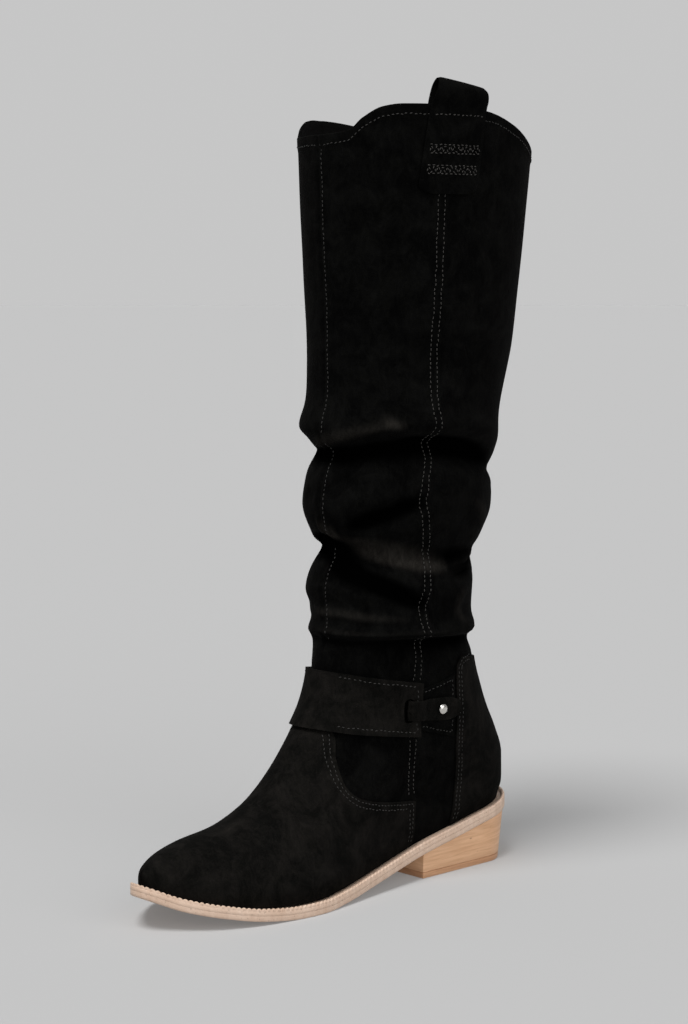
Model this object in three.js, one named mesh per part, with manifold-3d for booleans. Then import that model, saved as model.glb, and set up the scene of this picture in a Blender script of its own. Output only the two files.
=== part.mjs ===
// A left slouch boot for a woman's foot: suede upper gathered in folds over the ankle,
// vamp, counter, ankle strap with tab and stud, pull tab, welt, outsole and stacked heel.
// Millimetres. The toe points along -Y, the outer side of the foot is +X, +Z is up.
// The origin is the middle of the heel's floor face.
import * as THREE from "three";
import { mergeVertices } from "three/addons/utils/BufferGeometryUtils.js";
import Module from "manifold-3d";

// Driving sizes of the last and the leg
const lastLength = 258;
const ballWidth = 71;
const heelHeight = 30;
const toeSpring = 16.5;
const instepHeight = 88;
const legHeight = 392;
const ankleWidth = 75;
const calfWidth = 110;

// Thicknesses and small sizes
const wall = 2;
const gap = 0.3;
const overlayThickness = 1;
const strapThickness = 1.8;
const tabThickness = 1.2;
const pullTabThickness = 1.6;
const outsoleThickness = 3.2;
const weltThickness = 2.3;
const soleLedge = 4.5;
const beadHeight = 1.6;
const beadWidth = 2.4;
const insoleThickness = 4;
const insoleClearance = 1.6;
const featherTuck = 2;
const tuckRise = 11;
const heelCurve = 30;
const toeCurve = 44;
const toePower = 2.1;
const liftThickness = 3.4;
const heelLength = 77.5;
const heelInset = 4;
const heelWidth = 62;
const heelCorner = 23;
const heelSetback = 1;
const slotLength = 14;
const slotWidth = 4.4;
const studRadius = 2.9;
const studFoot = 2.3;
const studHeight = 1.7;
const studEdge = 0.5;
const pullTabLength = 44;
const pullTabRise = 17;
const pullTabWidth = 36;
const pullLoopWidth = 30;
const pullLoopTilt = 5;

// Sizes that follow
const soleStack = outsoleThickness + weltThickness;
const seatHeight = heelHeight + soleStack;
const heelMiddle = heelInset + heelLength / 2;
const overFeather = 2 * gap;
const overlayLow = gap;
const overlayHigh = overlayLow + overlayThickness;
const strapLow = overlayHigh + gap;
const strapHigh = strapLow + strapThickness;
const ringInset = featherTuck + wall + 2 * gap;
const insoleInset = featherTuck + wall + insoleClearance;
const farOut = lastLength / 2;

// Plan of the last: along it, its middle line and its half width, as shares of length and ball
const plan = [
  { along: 0.0, middle: 0.0, half: 0.394 },
  { along: 0.1, middle: 0.0, half: 0.399 },
  { along: 0.22, middle: 0.014, half: 0.385 },
  { along: 0.34, middle: 0.042, half: 0.359 },
  { along: 0.46, middle: 0.07, half: 0.38 },
  { along: 0.58, middle: 0.085, half: 0.437 },
  { along: 0.68, middle: 0.063, half: 0.5 },
  { along: 0.78, middle: 0.035, half: 0.479 },
  { along: 0.88, middle: 0.0, half: 0.408 },
  { along: 0.95, middle: 0.0, half: 0.31 },
  { along: 1.0, middle: 0.007, half: 0.218 },
];

// Side line of the sole's underside: what the heel and the toe spring lift, as shares of each
const rise = [
  { along: 0.0, heel: 1.0, toe: 0.0 },
  { along: 0.1, heel: 0.86, toe: 0.0 },
  { along: 0.2, heel: 0.683, toe: 0.0 },
  { along: 0.3, heel: 0.507, toe: 0.0 },
  { along: 0.4, heel: 0.323, toe: 0.0 },
  { along: 0.5, heel: 0.15, toe: 0.0 },
  { along: 0.58, heel: 0.045, toe: 0.0 },
  { along: 0.64, heel: 0.0, toe: 0.0 },
  { along: 0.71, heel: 0.0, toe: 0.0 },
  { along: 0.8, heel: 0.0, toe: 0.12 },
  { along: 0.88, heel: 0.0, toe: 0.36 },
  { along: 0.95, heel: 0.0, toe: 0.65 },
  { along: 1.0, heel: 0.0, toe: 1.0 },
];

// Leg: height above the seat as a share of its length, back and front lines as shares of the
// last's length, half width as a share of the calf's width
const leg = [
  { height: 0.0, back: 0.0, front: 0.6, half: 0.273 },
  { height: 0.025, back: -0.008, front: 0.59, half: 0.288 },
  { height: 0.063, back: -0.01, front: 0.57, half: 0.3 },
  { height: 0.101, back: 0.012, front: 0.55, half: 0.31 },
  { height: 0.14, back: 0.045, front: 0.535, half: 0.32 },
  { height: 0.165, back: 0.062, front: 0.525, half: 0.324 },
  { height: 0.216, back: 0.087, front: 0.51, half: 0.33 },
  { height: 0.26, back: 0.096, front: 0.497, half: 0.338 },
  { height: 0.3, back: 0.096, front: 0.493, half: 0.342 },
  { height: 0.357, back: 0.087, front: 0.493, half: 0.353 },
  { height: 0.421, back: 0.066, front: 0.495, half: 0.375 },
  { height: 0.498, back: 0.041, front: 0.497, half: 0.396 },
  { height: 0.575, back: 0.018, front: 0.498, half: 0.413 },
  { height: 0.626, back: 0.0, front: 0.496, half: 0.426 },
  { height: 0.677, back: -0.016, front: 0.496, half: 0.441 },
  { height: 0.78, back: -0.038, front: 0.504, half: 0.462 },
  { height: 0.93, back: -0.064, front: 0.514, half: 0.49 },
  { height: 1.0, back: -0.073, front: 0.516, half: 0.5 },
];

// Sections over the foot: from the feather line up to the ridge; rise is above the feather line.
// rows counts the grid rows up to the next section.
const footSections = [
  { foot: 1.0, ridge: 1.0, rise: 0.045, round: 1, power: 2, rows: 1 },
  { foot: 0.996, ridge: 0.9973, rise: 0.08, round: 1, power: 2, rows: 1 },
  { foot: 0.977, ridge: 0.981, rise: 0.14, round: 1, power: 2, rows: 2 },
  { foot: 0.93, ridge: 0.938, rise: 0.237, round: 1, power: 2.1, rows: 2 },
  { foot: 0.853, ridge: 0.868, rise: 0.33, round: 1, power: 2.1, rows: 1 },
  { foot: 0.756, ridge: 0.787, rise: 0.42, round: 1, power: 2.05, rows: 2 },
  { foot: 0.64, ridge: 0.713, rise: 0.54, round: 1, power: 2, rows: 1 },
  { foot: 0.504, ridge: 0.647, rise: 0.7, round: 0.97, power: 1.95, rows: 2 },
  { foot: 0.349, ridge: 0.579, rise: 0.895, round: 0.9, power: 1.95, rows: 1 },
  { foot: 0.174, ridge: 0.531, rise: 1.08, round: 0.75, power: 2, rows: 1 },
  { foot: 0.11, ridge: 0.522, rise: 1.145, round: 0.7, power: 2, rows: 1 },
  { foot: 0.06, ridge: 0.516, rise: 1.195, round: 0.65, power: 2, rows: 1 },
  { foot: 0.027, ridge: 0.513, rise: 1.23, round: 0.63, power: 2, rows: 1 },
  { foot: 0.007, ridge: 0.511, rise: 1.255, round: 0.61, power: 2, rows: 1 },
  { foot: 0.0, ridge: 0.51, rise: 1.27, round: 0.6, power: 2, rows: 2 },
];

// Sections round the leg: heights of their back and front ends above the seat
const legSections = [
  { back: 0.063, front: 0.236, rows: 1 },
  { back: 0.139, front: 0.246, rows: 1 },
  { back: 0.211, front: 0.257, rows: 2 },
  { back: 0.272, front: 0.272, rows: 12 },
  { back: 0.49, front: 0.49, rows: 8 },
  { back: 0.63, front: 0.63, rows: 1 },
  { back: 0.8, front: 0.8, rows: 1 },
  { back: 0.885, front: 0.9, rows: 2 },
  { back: 0.9375, front: 0.9605, rows: 1 },
];

// Collar: how far its edge rises above the line from its back to its front
const collar = [
  { place: 0.0, rise: 0.0 },
  { place: 0.135, rise: 0.011 },
  { place: 0.325, rise: 0.0335 },
  { place: 0.5, rise: 0.046 },
  { place: 0.65, rise: 0.0475 },
  { place: 0.833, rise: 0.044 },
  { place: 0.893, rise: 0.0385 },
  { place: 0.944, rise: 0.0215 },
  { place: 0.967, rise: 0.0065 },
  { place: 1.0, rise: 0.0 },
];
const collarBend = { from: 0.76, to: 0.93 };
const collarInnerShare = 0.8;

// Folds of the slouch, from the top: heights above the seat at the front, side and back, how
// far each stands out there as shares of the ankle's width, and its reach up and down
const folds = [
  { front: 0.565, side: 0.5625, back: 0.529, outFront: 0.06, outSide: 0.05, outBack: 0.0, reach: 0.023 },
  { front: 0.518, side: 0.529, back: 0.476, outFront: -0.07, outSide: -0.066, outBack: -0.03, reach: 0.0166 },
  { front: 0.453, side: 0.455, back: 0.432, outFront: 0.055, outSide: 0.035, outBack: 0.05, reach: 0.041 },
  { front: 0.394, side: 0.371, back: 0.369, outFront: -0.095, outSide: -0.066, outBack: -0.04, reach: 0.019 },
  { front: 0.3355, side: 0.325, back: 0.3176, outFront: 0.047, outSide: 0.04, outBack: -0.012, reach: 0.028 },
  { front: 0.274, side: 0.272, back: 0.264, outFront: 0.02, outSide: 0.048, outBack: 0.024, reach: 0.013 },
  { front: 0.249, side: 0.246, back: 0.241, outFront: 0.0, outSide: -0.045, outBack: -0.015, reach: 0.012 },
];
const foldSag = 0.35;
const foldUndercut = 0.75;
const foldsFrom = 0.18;
const medialDrop = 0.014;
const medialDepth = 0.85;

// Where the foot turns into the leg: above is over the feather line as a share of the instep
// height, along is a share of the last, height is over the seat as a share of the leg
const widthTurn = { aboveFrom: 0.09, aboveTo: 0.85, alongFrom: 0.62, alongTo: 0.86 };
const middleTurn = { aboveFrom: 0.35, aboveTo: 0.95 };
const backTurn = { heightFrom: 0, heightTo: 0.27 };

// Side view outlines of the overlays: along the last, and up as a share of the instep height
// above the seat
const vampTop = { along: 0.7, up: 1.2 };
const vampEdge = [
  { along: 0.336, up: -0.35 },
  { along: 0.336, up: 0.1 },
  { along: 0.434, up: 0.16 },
  { along: 0.504, up: 0.235 },
  { along: 0.533, up: 0.335 },
  { along: 0.537, up: 0.46 },
  { along: 0.527, up: 0.6 },
  { along: 0.55, up: 0.72 },
];
const counterEdge = [
  { along: 0.229, up: -0.3 },
  { along: 0.215, up: 0.05 },
  { along: 0.215, up: 0.27 },
  { along: 0.227, up: 0.494 },
  { along: 0.234, up: 0.733 },
  { along: 0.236, up: 1.01 },
  { along: 0.215, up: 1.027 },
  { along: 0.16, up: 1.02 },
  { along: 0.08, up: 1.0 },
];
const strapEdges = [
  { along: 0.34, low: 0.534, high: 0.882 },
  { along: 0.44, low: 0.573, high: 0.932 },
  { along: 0.504, low: 0.6, high: 0.971 },
  { along: 0.57, low: 0.64, high: 1.005 },
  { along: 0.62, low: 0.66, high: 1.03 },
];
const anchorEdge = [
  { along: 0.348, up: 0.83 },
  { along: 0.243, up: 0.903 },
  { along: 0.236, up: 0.495 },
  { along: 0.348, up: 0.585 },
];

// Strap tab from its tip to the slot: height of its middle line and its half height in the
// side view, and which layers lie under it
const slotPlace = { along: 0.3705, up: 0.709 };
const tab = [
  { along: 0.2215, up: 0.683, half: 0.006, over: 0 },
  { along: 0.2235, up: 0.684, half: 0.034, over: 0 },
  { along: 0.229, up: 0.686, half: 0.05, over: 0 },
  { along: 0.245, up: 0.69, half: 0.062, over: 0 },
  { along: 0.28, up: 0.698, half: 0.066, over: 0 },
  { along: 0.323, up: 0.704, half: 0.068, over: 0 },
  { along: 0.3365, up: 0.706, half: 0.069, over: 1 },
  { along: 0.3645, up: 0.709, half: 0.07, over: 1 },
  { along: 0.3685, up: 0.709, half: 0.07, over: 0.2 },
  { along: 0.3735, up: 0.709, half: 0.07, over: 0.1 },
];
const studPlace = { along: 0.285, up: 0.699 };

// Pull tab: its middle along the boot and its lean, then the path of its strip, from the end
// sewn outside the leg over the collar to the end sewn inside: leg is down the leg, high is
// over the collar, outer is 1 on the outer face and 0 on the inner, swell bows it out;
// outside and inside are its clearances to the leg's two faces, in millimetres
const pullTabPlace = { along: 0.31, lean: -0.12, outside: 0.42, inside: 0.72 };
const pullLoop = [
  { leg: -1, high: 0, outer: 1, swell: 0 },
  { leg: -0.75, high: 0, outer: 1, swell: 0 },
  { leg: -0.5, high: 0, outer: 1, swell: 0 },
  { leg: -0.25, high: 0, outer: 1, swell: 0 },
  { leg: 0, high: 0.12, outer: 1, swell: 0 },
  { leg: 0, high: 0.45, outer: 1, swell: 0.1 },
  { leg: 0, high: 0.76, outer: 1, swell: 0.11 },
  { leg: 0, high: 0.94, outer: 0.8, swell: 0.06 },
  { leg: 0, high: 1, outer: 0.5, swell: 0 },
  { leg: 0, high: 0.94, outer: 0.2, swell: -0.06 },
  { leg: 0, high: 0.76, outer: 0, swell: -0.11 },
  { leg: 0, high: 0.45, outer: 0, swell: -0.1 },
  { leg: 0, high: 0.12, outer: 0, swell: 0 },
  { leg: -0.25, high: 0, outer: 0, swell: 0 },
  { leg: -0.5, high: 0, outer: 0, swell: 0 },
  { leg: -0.72, high: 0, outer: 0, swell: 0 },
];

// Grid counts
const gridAround = 28;
const soleStations = 34;
const heelStations = 16;

const wasm = await Module();
wasm.setup();

// A smooth curve through one column of a table, without overshoot between its rows. Past its
// ends it stays level, or runs straight on.
function curve(rows, key, column, runsOn = false) {
  const at = rows.map((row) => row[key]);
  const value = rows.map((row) => row[column]);
  const slope = at.slice(1).map((x, i) => (value[i + 1] - value[i]) / (x - at[i]));
  const tangent = value.map((_, i) => {
    if (i === 0) return slope[0];
    if (i === slope.length) return slope[i - 1];
    const product = slope[i - 1] * slope[i];
    return product > 0 ? (2 * product) / (slope[i - 1] + slope[i]) : 0;
  });
  return (x) => {
    const place = Math.min(Math.max(x, at[0]), at[at.length - 1]);
    let i = 0;
    while (i < slope.length - 1 && place > at[i + 1]) i += 1;
    const step = at[i + 1] - at[i];
    const t = (place - at[i]) / step;
    const rest = 1 - t;
    const beyond = runsOn ? (x - place) * tangent[x < at[0] ? 0 : at.length - 1] : 0;
    return (
      beyond +
      (1 + 2 * t) * rest * rest * value[i] +
      t * rest * rest * step * tangent[i] +
      t * t * (3 - 2 * t) * value[i + 1] -
      t * t * rest * step * tangent[i + 1]
    );
  };
}

function smooth(from, to, x) {
  const t = Math.min(Math.max((x - from) / (to - from), 0), 1);
  return t * t * (3 - 2 * t);
}

// A rounded end: 0 at its tip, 1 where it meets the full width.
function roundEnd(share, power = 2) {
  const t = Math.min(Math.max(share, 0), 1);
  return (1 - (1 - t) ** power) ** (1 / power);
}

const planMiddle = curve(plan, "along", "middle");
const planHalf = curve(plan, "along", "half");
const heelRise = curve(rise, "along", "heel", true);
const toeRise = curve(rise, "along", "toe", true);
const legBack = curve(leg, "height", "back");
const legFront = curve(leg, "height", "front");
const legHalf = curve(leg, "height", "half");
const collarRise = curve(collar, "place", "rise");

const middleAt = (s) => ballWidth * planMiddle(s / lastLength);
const underside = (s) => heelHeight * heelRise(s / lastLength) + toeSpring * toeRise(s / lastLength);
const feather = (s) => soleStack + underside(s);
const legShare = (z) => (z - seatHeight) / legHeight;
const backAt = (z) => lastLength * legBack(legShare(z));
const frontAt = (z) => lastLength * legFront(legShare(z));
const world = (x, s, z) => new THREE.Vector3(x, heelMiddle - s, z);

// Half width of the last's outline, grown outwards on every side.
function outlineHalf(s, grow = 0) {
  const back = roundEnd((s + grow) / (heelCurve + grow));
  const toe = roundEnd((lastLength + grow - s) / (toeCurve + grow), toePower);
  return (ballWidth * planHalf(s / lastLength) + grow) * back * toe;
}

// The sections as one table of end points, with the place of each in the list as its key.
const sections = [
  ...footSections.map((row) => ({
    backS: lastLength * row.foot,
    backZ: feather(lastLength * row.foot),
    frontS: lastLength * row.ridge,
    frontZ: feather(lastLength * row.ridge) + instepHeight * row.rise,
    round: row.round,
    power: row.power,
    rows: row.rows,
  })),
  ...legSections.map((row) => ({
    backS: backAt(seatHeight + legHeight * row.back),
    backZ: seatHeight + legHeight * row.back,
    frontS: frontAt(seatHeight + legHeight * row.front),
    frontZ: seatHeight + legHeight * row.front,
    round: 0.5,
    power: 2,
    rows: row.rows,
  })),
].map((row, key) => ({ key, ...row }));
const sectionCurve = {};
for (const column of ["backS", "backZ", "frontS", "frontZ", "round", "power"])
  sectionCurve[column] = curve(sections, "key", column);
const heelKey = footSections.length - 1;
const collarKey = sections.length - 1;

// How far the folds push the leather out at a height; front is 1 at the front, -1 at the back.
function foldOut(height, front, medial) {
  const side = 1 - front * front;
  const mix = (atFront, atSide, atBack) =>
    atSide * side + (atFront * (1 + front) * front - atBack * (1 - front) * front) / 2;
  let out = 0;
  for (const fold of folds) {
    const drop = medial ? medialDrop * side : 0;
    const depth = medial ? 1 - (1 - medialDepth) * side : 1;
    const offset = height - mix(fold.front, fold.side, fold.back) + drop;
    const reach = fold.reach * (offset < 0 && fold.outSide > 0 ? foldUndercut : 1);
    const bump = Math.exp(-((offset / reach) ** 2));
    out += ankleWidth * depth * mix(fold.outFront, fold.outSide, fold.outBack) * bump;
  }
  return out;
}

// A point of the upper's outer face: key runs over the sections from the toe to the collar,
// share from a section's back or bottom end to its front or top end, side is 1 outer, -1 inner.
function upperPoint(key, share, side) {
  const at = {};
  for (const column in sectionCurve) at[column] = sectionCurve[column](key);
  if (key > heelKey) at.backS = backAt(at.backZ);
  else at.backZ = feather(at.backS);
  if (key > heelKey + 1) at.frontS = frontAt(at.frontZ);
  let s = at.backS + (at.frontS - at.backS) * share;
  let z = at.backZ + (at.frontZ - at.backZ) * share;
  const height = legShare(z);
  const bend = smooth(collarBend.from, collarBend.to, height) * (side > 0 ? 1 : collarInnerShare);
  z += legHeight * collarRise(share) * bend;
  const above = (z - feather(s)) / instepHeight;
  const toFoot = roundEnd((lastLength - s) / toeCurve, toePower);
  const foot = ballWidth * planHalf(s / lastLength) * toFoot;
  const turned = smooth(widthTurn.aboveFrom, widthTurn.aboveTo, above);
  const behindToe = 1 - smooth(widthTurn.alongFrom, widthTurn.alongTo, s / lastLength);
  const plain = foot + (calfWidth * legHalf(height) - foot) * turned * behindToe;
  const legDepth = (frontAt(z) - backAt(z)) / 2;
  const backTurned = smooth(backTurn.heightFrom, backTurn.heightTo, height);
  const backCurve = heelCurve + (legDepth - heelCurve) * backTurned;
  const back = roundEnd((s - backAt(z)) / backCurve);
  let half = plain * back * roundEnd((1 - share) / at.round, at.power);
  if (key <= heelKey + 1) {
    const tucked = featherTuck * (1 - smooth(0, tuckRise, above * instepHeight));
    const fromHeel = roundEnd(s / heelCurve);
    half -= tucked * fromHeel * toFoot;
    s += tucked * (toFoot - fromHeel);
  }
  const centred = 1 - smooth(middleTurn.aboveFrom, middleTurn.aboveTo, above);
  let x = middleAt(s) * centred + side * half;
  if (height > foldsFrom) {
    const middle = (frontAt(z) + backAt(z)) / 2;
    const direction = new THREE.Vector2(x / plain ** 2, (s - middle) / legDepth ** 2).normalize();
    const out = foldOut(height, Math.min(Math.max(2 * share - 1, -1), 1), side < 0);
    x += direction.x * out;
    s += direction.y * out;
    z -= foldSag * out;
  }
  return world(x, s, z);
}

// The grid of the upper's outer face: rows from toe to collar, each from the outer feather edge
// or back seam over the front to the inner one. Rows at the toe and round the leg close.
const gridKeys = [];
for (const { key, rows } of sections.slice(0, -1))
  for (let i = 0; i < rows; i += 1) gridKeys.push(key + i / rows);
gridKeys.push(collarKey);
const grid = gridKeys.map((key) => {
  const row = [];
  for (let j = 0; j <= gridAround; j += 1) {
    const share = (1 - Math.cos((2 * Math.PI * j) / gridAround)) / 2;
    row.push(upperPoint(key, share, j <= gridAround / 2 ? 1 : -1));
  }
  return row;
});
const heelRow = gridKeys.indexOf(heelKey);
const lastRow = gridKeys.length - 1;
const rowCloses = (i) => i === 0 || i >= heelRow;
const pointIndex = (i, j) => {
  if (i === 0 && j > gridAround / 2) return gridAround - j;
  if (i >= heelRow && j === gridAround) return i * (gridAround + 1);
  return i * (gridAround + 1) + j;
};

// The triangles of the face, each seen from outside.
const faceTriangles = [];
for (let i = 0; i < lastRow; i += 1)
  for (let j = 0; j < gridAround; j += 1) {
    const a = pointIndex(i, j);
    const b = pointIndex(i + 1, j);
    const c = pointIndex(i + 1, j + 1);
    const d = pointIndex(i, j + 1);
    if (a !== b && b !== c && a !== c) faceTriangles.push([a, b, c]);
    if (a !== c && c !== d && a !== d) faceTriangles.push([a, c, d]);
  }

// The unit normal at each point of the face, and the face moved along it.
const facePoints = grid.flat();
const faceNormals = facePoints.map(() => new THREE.Vector3());
for (const [a, b, c] of faceTriangles) {
  const ab = facePoints[b].clone().sub(facePoints[a]);
  const ac = facePoints[c].clone().sub(facePoints[a]);
  const normal = ab.cross(ac);
  for (const corner of [a, b, c]) faceNormals[corner].add(normal);
}
for (let i = 0; i <= lastRow; i += 1)
  for (let j = 0; j <= gridAround; j += 1) {
    const normal = faceNormals[pointIndex(i, j)];
    if (rowCloses(i) && (i === 0 || j === 0)) normal.x = 0;
  }
for (const normal of faceNormals) normal.normalize();
const moved = (distance) =>
  facePoints.map((point, i) => point.clone().addScaledVector(faceNormals[i], distance));

// A closed geometry from points and triangles, turned to face outwards.
function closedGeometry(points, triangles) {
  let volume = 0;
  for (const [a, b, c] of triangles)
    volume += points[a].dot(points[b].clone().cross(points[c]));
  const index = triangles.flatMap(([a, b, c]) => (volume < 0 ? [a, c, b] : [a, b, c]));
  const geometry = new THREE.BufferGeometry();
  geometry.setAttribute(
    "position",
    new THREE.Float32BufferAttribute(points.flatMap((point) => point.toArray()), 3),
  );
  geometry.setIndex(index);
  return mergeVertices(geometry, 1e-4);
}

function solidOf(geometry) {
  const plain = geometry.clone();
  plain.deleteAttribute("normal");
  plain.deleteAttribute("uv");
  const merged = mergeVertices(plain, 1e-4);
  return new wasm.Manifold(
    new wasm.Mesh({
      numProp: 3,
      vertProperties: new Float32Array(merged.attributes.position.array),
      triVerts: new Uint32Array(merged.index.array),
    }),
  );
}

function geometryOf(solid) {
  const mesh = solid.getMesh();
  const geometry = new THREE.BufferGeometry();
  geometry.setAttribute("position", new THREE.BufferAttribute(mesh.vertProperties, 3));
  geometry.setIndex(new THREE.BufferAttribute(mesh.triVerts, 1));
  return geometry;
}

// The outer edge of the face, once round the feather line and once round the collar.
const featherLoop = [];
for (let i = 0; i <= heelRow; i += 1) featherLoop.push(pointIndex(i, 0));
for (let i = heelRow - 1; i > 0; i -= 1) featherLoop.push(pointIndex(i, gridAround));
const collarLoop = [];
for (let j = 0; j < gridAround; j += 1) collarLoop.push(pointIndex(lastRow, j));

// The upper: outer face, inner face a wall inside it, and rims at the feather line and collar.
function upperGeometry() {
  const raised = (point) => point.clone().setZ(point.z + gap);
  const outer = facePoints.map(raised);
  const inner = moved(-wall).map(raised);
  for (const index of featherLoop) inner[index].z = Math.max(inner[index].z, outer[index].z);
  const count = outer.length;
  const triangles = [...faceTriangles];
  for (const [a, b, c] of faceTriangles) triangles.push([a + count, c + count, b + count]);
  for (const loop of [featherLoop, collarLoop])
    loop.forEach((a, i) => {
      const b = loop[(i + 1) % loop.length];
      triangles.push([b, a, b + count], [b + count, a, a + count]);
    });
  return closedGeometry([...outer, ...inner], triangles);
}

// The upper's outer form, grown outwards and closed below and above: the overlays' cutter.
function grownForm(distance) {
  const points = moved(distance).map((point) => point.setZ(point.z + gap));
  const triangles = [...faceTriangles];
  for (let i = 0; i < heelRow; i += 1) {
    const outerHere = pointIndex(i, 0);
    const outerNext = pointIndex(i + 1, 0);
    const innerHere = pointIndex(i, gridAround);
    const innerNext = pointIndex(i + 1, gridAround);
    if (innerHere !== outerHere) triangles.push([outerHere, innerHere, innerNext]);
    if (outerNext !== innerNext) triangles.push([outerHere, innerNext, outerNext]);
  }
  const centre = new THREE.Vector3();
  for (const index of collarLoop) centre.add(points[index]);
  points.push(centre.divideScalar(collarLoop.length));
  collarLoop.forEach((a, i) => {
    const b = collarLoop[(i + 1) % collarLoop.length];
    triangles.push([b, a, points.length - 1]);
  });
  return solidOf(closedGeometry(points, triangles));
}

const forms = new Map();
function formAt(distance) {
  if (!forms.has(distance)) forms.set(distance, grownForm(distance));
  return forms.get(distance);
}
const shellBetween = (low, high) => formAt(high).subtract(formAt(low));

// A prism across the boot from its outline in the side view: [along, up] in millimetres.
function sidePrism(outline, fromX, toX) {
  const shape = new THREE.Shape(outline.map(([s, z]) => new THREE.Vector2(s, z)));
  const prism = new THREE.ExtrudeGeometry(shape, { depth: toX - fromX, bevelEnabled: false });
  const place = new THREE.Matrix4().makeBasis(
    new THREE.Vector3(0, -1, 0),
    new THREE.Vector3(0, 0, 1),
    new THREE.Vector3(-1, 0, 0),
  );
  prism.applyMatrix4(place);
  prism.translate(toX, heelMiddle, 0);
  return solidOf(prism);
}

const up = (share) => seatHeight + instepHeight * share;
const sideOutline = (rows) => rows.map((row) => [lastLength * row.along, up(row.up)]);

// The line just over the welt, from one place along the boot to another.
function featherLine(from, to, steps = 20) {
  const line = [];
  for (let i = 0; i <= steps; i += 1) {
    const s = from + ((to - from) * i) / steps;
    line.push([s, feather(s) + gap + overFeather]);
  }
  return line;
}

// Points of an edge above the welt, in smooth steps through the table's rows.
function edgeAboveWelt(rows) {
  const line = sideOutline(rows).map(([s, z]) => new THREE.Vector3(s, z, 0));
  const points = new THREE.CatmullRomCurve3(line, false, "centripetal").getPoints(rows.length * 3);
  return points.filter((p) => p.y > feather(p.x) + gap + overFeather).map((p) => [p.x, p.y]);
}

function vampSolid() {
  const edge = edgeAboveWelt(vampEdge);
  const front = lastLength + farOut;
  const outline = [
    ...edge,
    ...sideOutline([vampTop]),
    [front, up(vampTop.up)],
    [front, feather(lastLength) + gap + overFeather],
    ...featherLine(lastLength, lastLength * vampEdge[0].along),
  ];
  return shellBetween(overlayLow, overlayHigh).intersect(sidePrism(outline, -farOut, farOut));
}

function counterSolid() {
  const edge = edgeAboveWelt(counterEdge);
  const behind = -farOut;
  const outline = [
    ...edge,
    [behind, edge[edge.length - 1][1]],
    [behind, feather(0) + gap + overFeather],
    ...featherLine(0, edge[0][0]),
  ];
  return shellBetween(overlayLow, overlayHigh).intersect(sidePrism(outline, -farOut, farOut));
}

// The ankle strap: a band over the front, its ends at the side seams, slotted on the outer side.
function strapSolid() {
  const low = strapEdges.map((row) => [lastLength * row.along, up(row.low)]);
  const high = strapEdges.map((row) => [lastLength * row.along, up(row.high)]).reverse();
  const band = shellBetween(strapLow, strapHigh).intersect(
    sidePrism([...low, ...high], -farOut, farOut),
  );
  const s = lastLength * slotPlace.along;
  const z = up(slotPlace.up);
  const slot = [
    [s - slotWidth / 2, z - slotLength / 2],
    [s + slotWidth / 2, z - slotLength / 2],
    [s + slotWidth / 2, z + slotLength / 2],
    [s - slotWidth / 2, z + slotLength / 2],
  ];
  return band.subtract(sidePrism(slot, 0, farOut));
}

const anchorSolid = () =>
  shellBetween(overlayLow, overlayHigh).intersect(sidePrism(sideOutline(anchorEdge), 0, farOut));

// The point of the upper's outer side at a place in the side view, with its normal: it steps
// over the face until it meets the place.
function onUpper(s, z) {
  const small = 1e-3;
  const longestStep = 12;
  const wanted = new THREE.Vector2(heelMiddle - s, z);
  const inSideView = (key, share) => {
    const point = upperPoint(key, share, 1);
    return new THREE.Vector2(point.y, point.z);
  };
  let key = heelKey + 2;
  let share = 0.5;
  for (let round = 0; round < 40; round += 1) {
    const here = inSideView(key, share);
    const miss = wanted.clone().sub(here);
    if (miss.length() < 1e-4) break;
    const alongKey = inSideView(key + small, share).sub(here).divideScalar(small);
    const alongShare = inSideView(key, share + small).sub(here).divideScalar(small);
    const area = alongKey.cross(alongShare);
    const pace = Math.min(1, longestStep / miss.length());
    key += (pace * miss.cross(alongShare)) / area;
    share += (pace * alongKey.cross(miss)) / area;
    key = Math.min(Math.max(key, 0), collarKey - small);
    share = Math.min(Math.max(share, 0.02), 0.98);
  }
  const point = upperPoint(key, share, 1);
  const overKey = upperPoint(key + small, share, 1).sub(point);
  const overShare = upperPoint(key, share + small, 1).sub(point);
  const normal = overKey.cross(overShare).normalize();
  if (normal.x < 0) normal.negate();
  point.z += gap;
  return { point, normal };
}

// A closed ribbon from its cross sections, each a ring of points.
function ribbonGeometry(rings) {
  const size = rings[0].length;
  const triangles = [];
  for (let i = 0; i + 1 < rings.length; i += 1)
    for (let j = 0; j < size; j += 1) {
      const a = i * size + j;
      const b = i * size + ((j + 1) % size);
      triangles.push([a, b, b + size], [a, b + size, a + size]);
    }
  const end = (rings.length - 1) * size;
  for (let j = 0; j < size / 2 - 1; j += 1) {
    const far = size - 1 - j;
    triangles.push([j, far, j + 1], [j + 1, far, far - 1]);
    triangles.push([end + j, end + j + 1, end + far], [end + j + 1, end + far - 1, end + far]);
  }
  return closedGeometry(rings.flat(), triangles);
}

// The tab: a narrow ribbon on the anchor, over the strap's end and down into its slot.
function tabGeometry() {
  const across = [-1, -0.5, 0, 0.5, 1];
  const rings = tab.map((row) => {
    const low = strapLow + gap / 2 + (strapHigh + gap - strapLow) * row.over;
    const foot = across.map((w) => {
      const z = up(row.up) + instepHeight * row.half * w;
      return onUpper(lastLength * row.along, z);
    });
    const lower = foot.map(({ point, normal }) => point.clone().addScaledVector(normal, low));
    const upper = foot.map(({ point, normal }) =>
      point.clone().addScaledVector(normal, low + tabThickness),
    );
    return [...lower, ...upper.reverse()];
  });
  return ribbonGeometry(rings);
}

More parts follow.
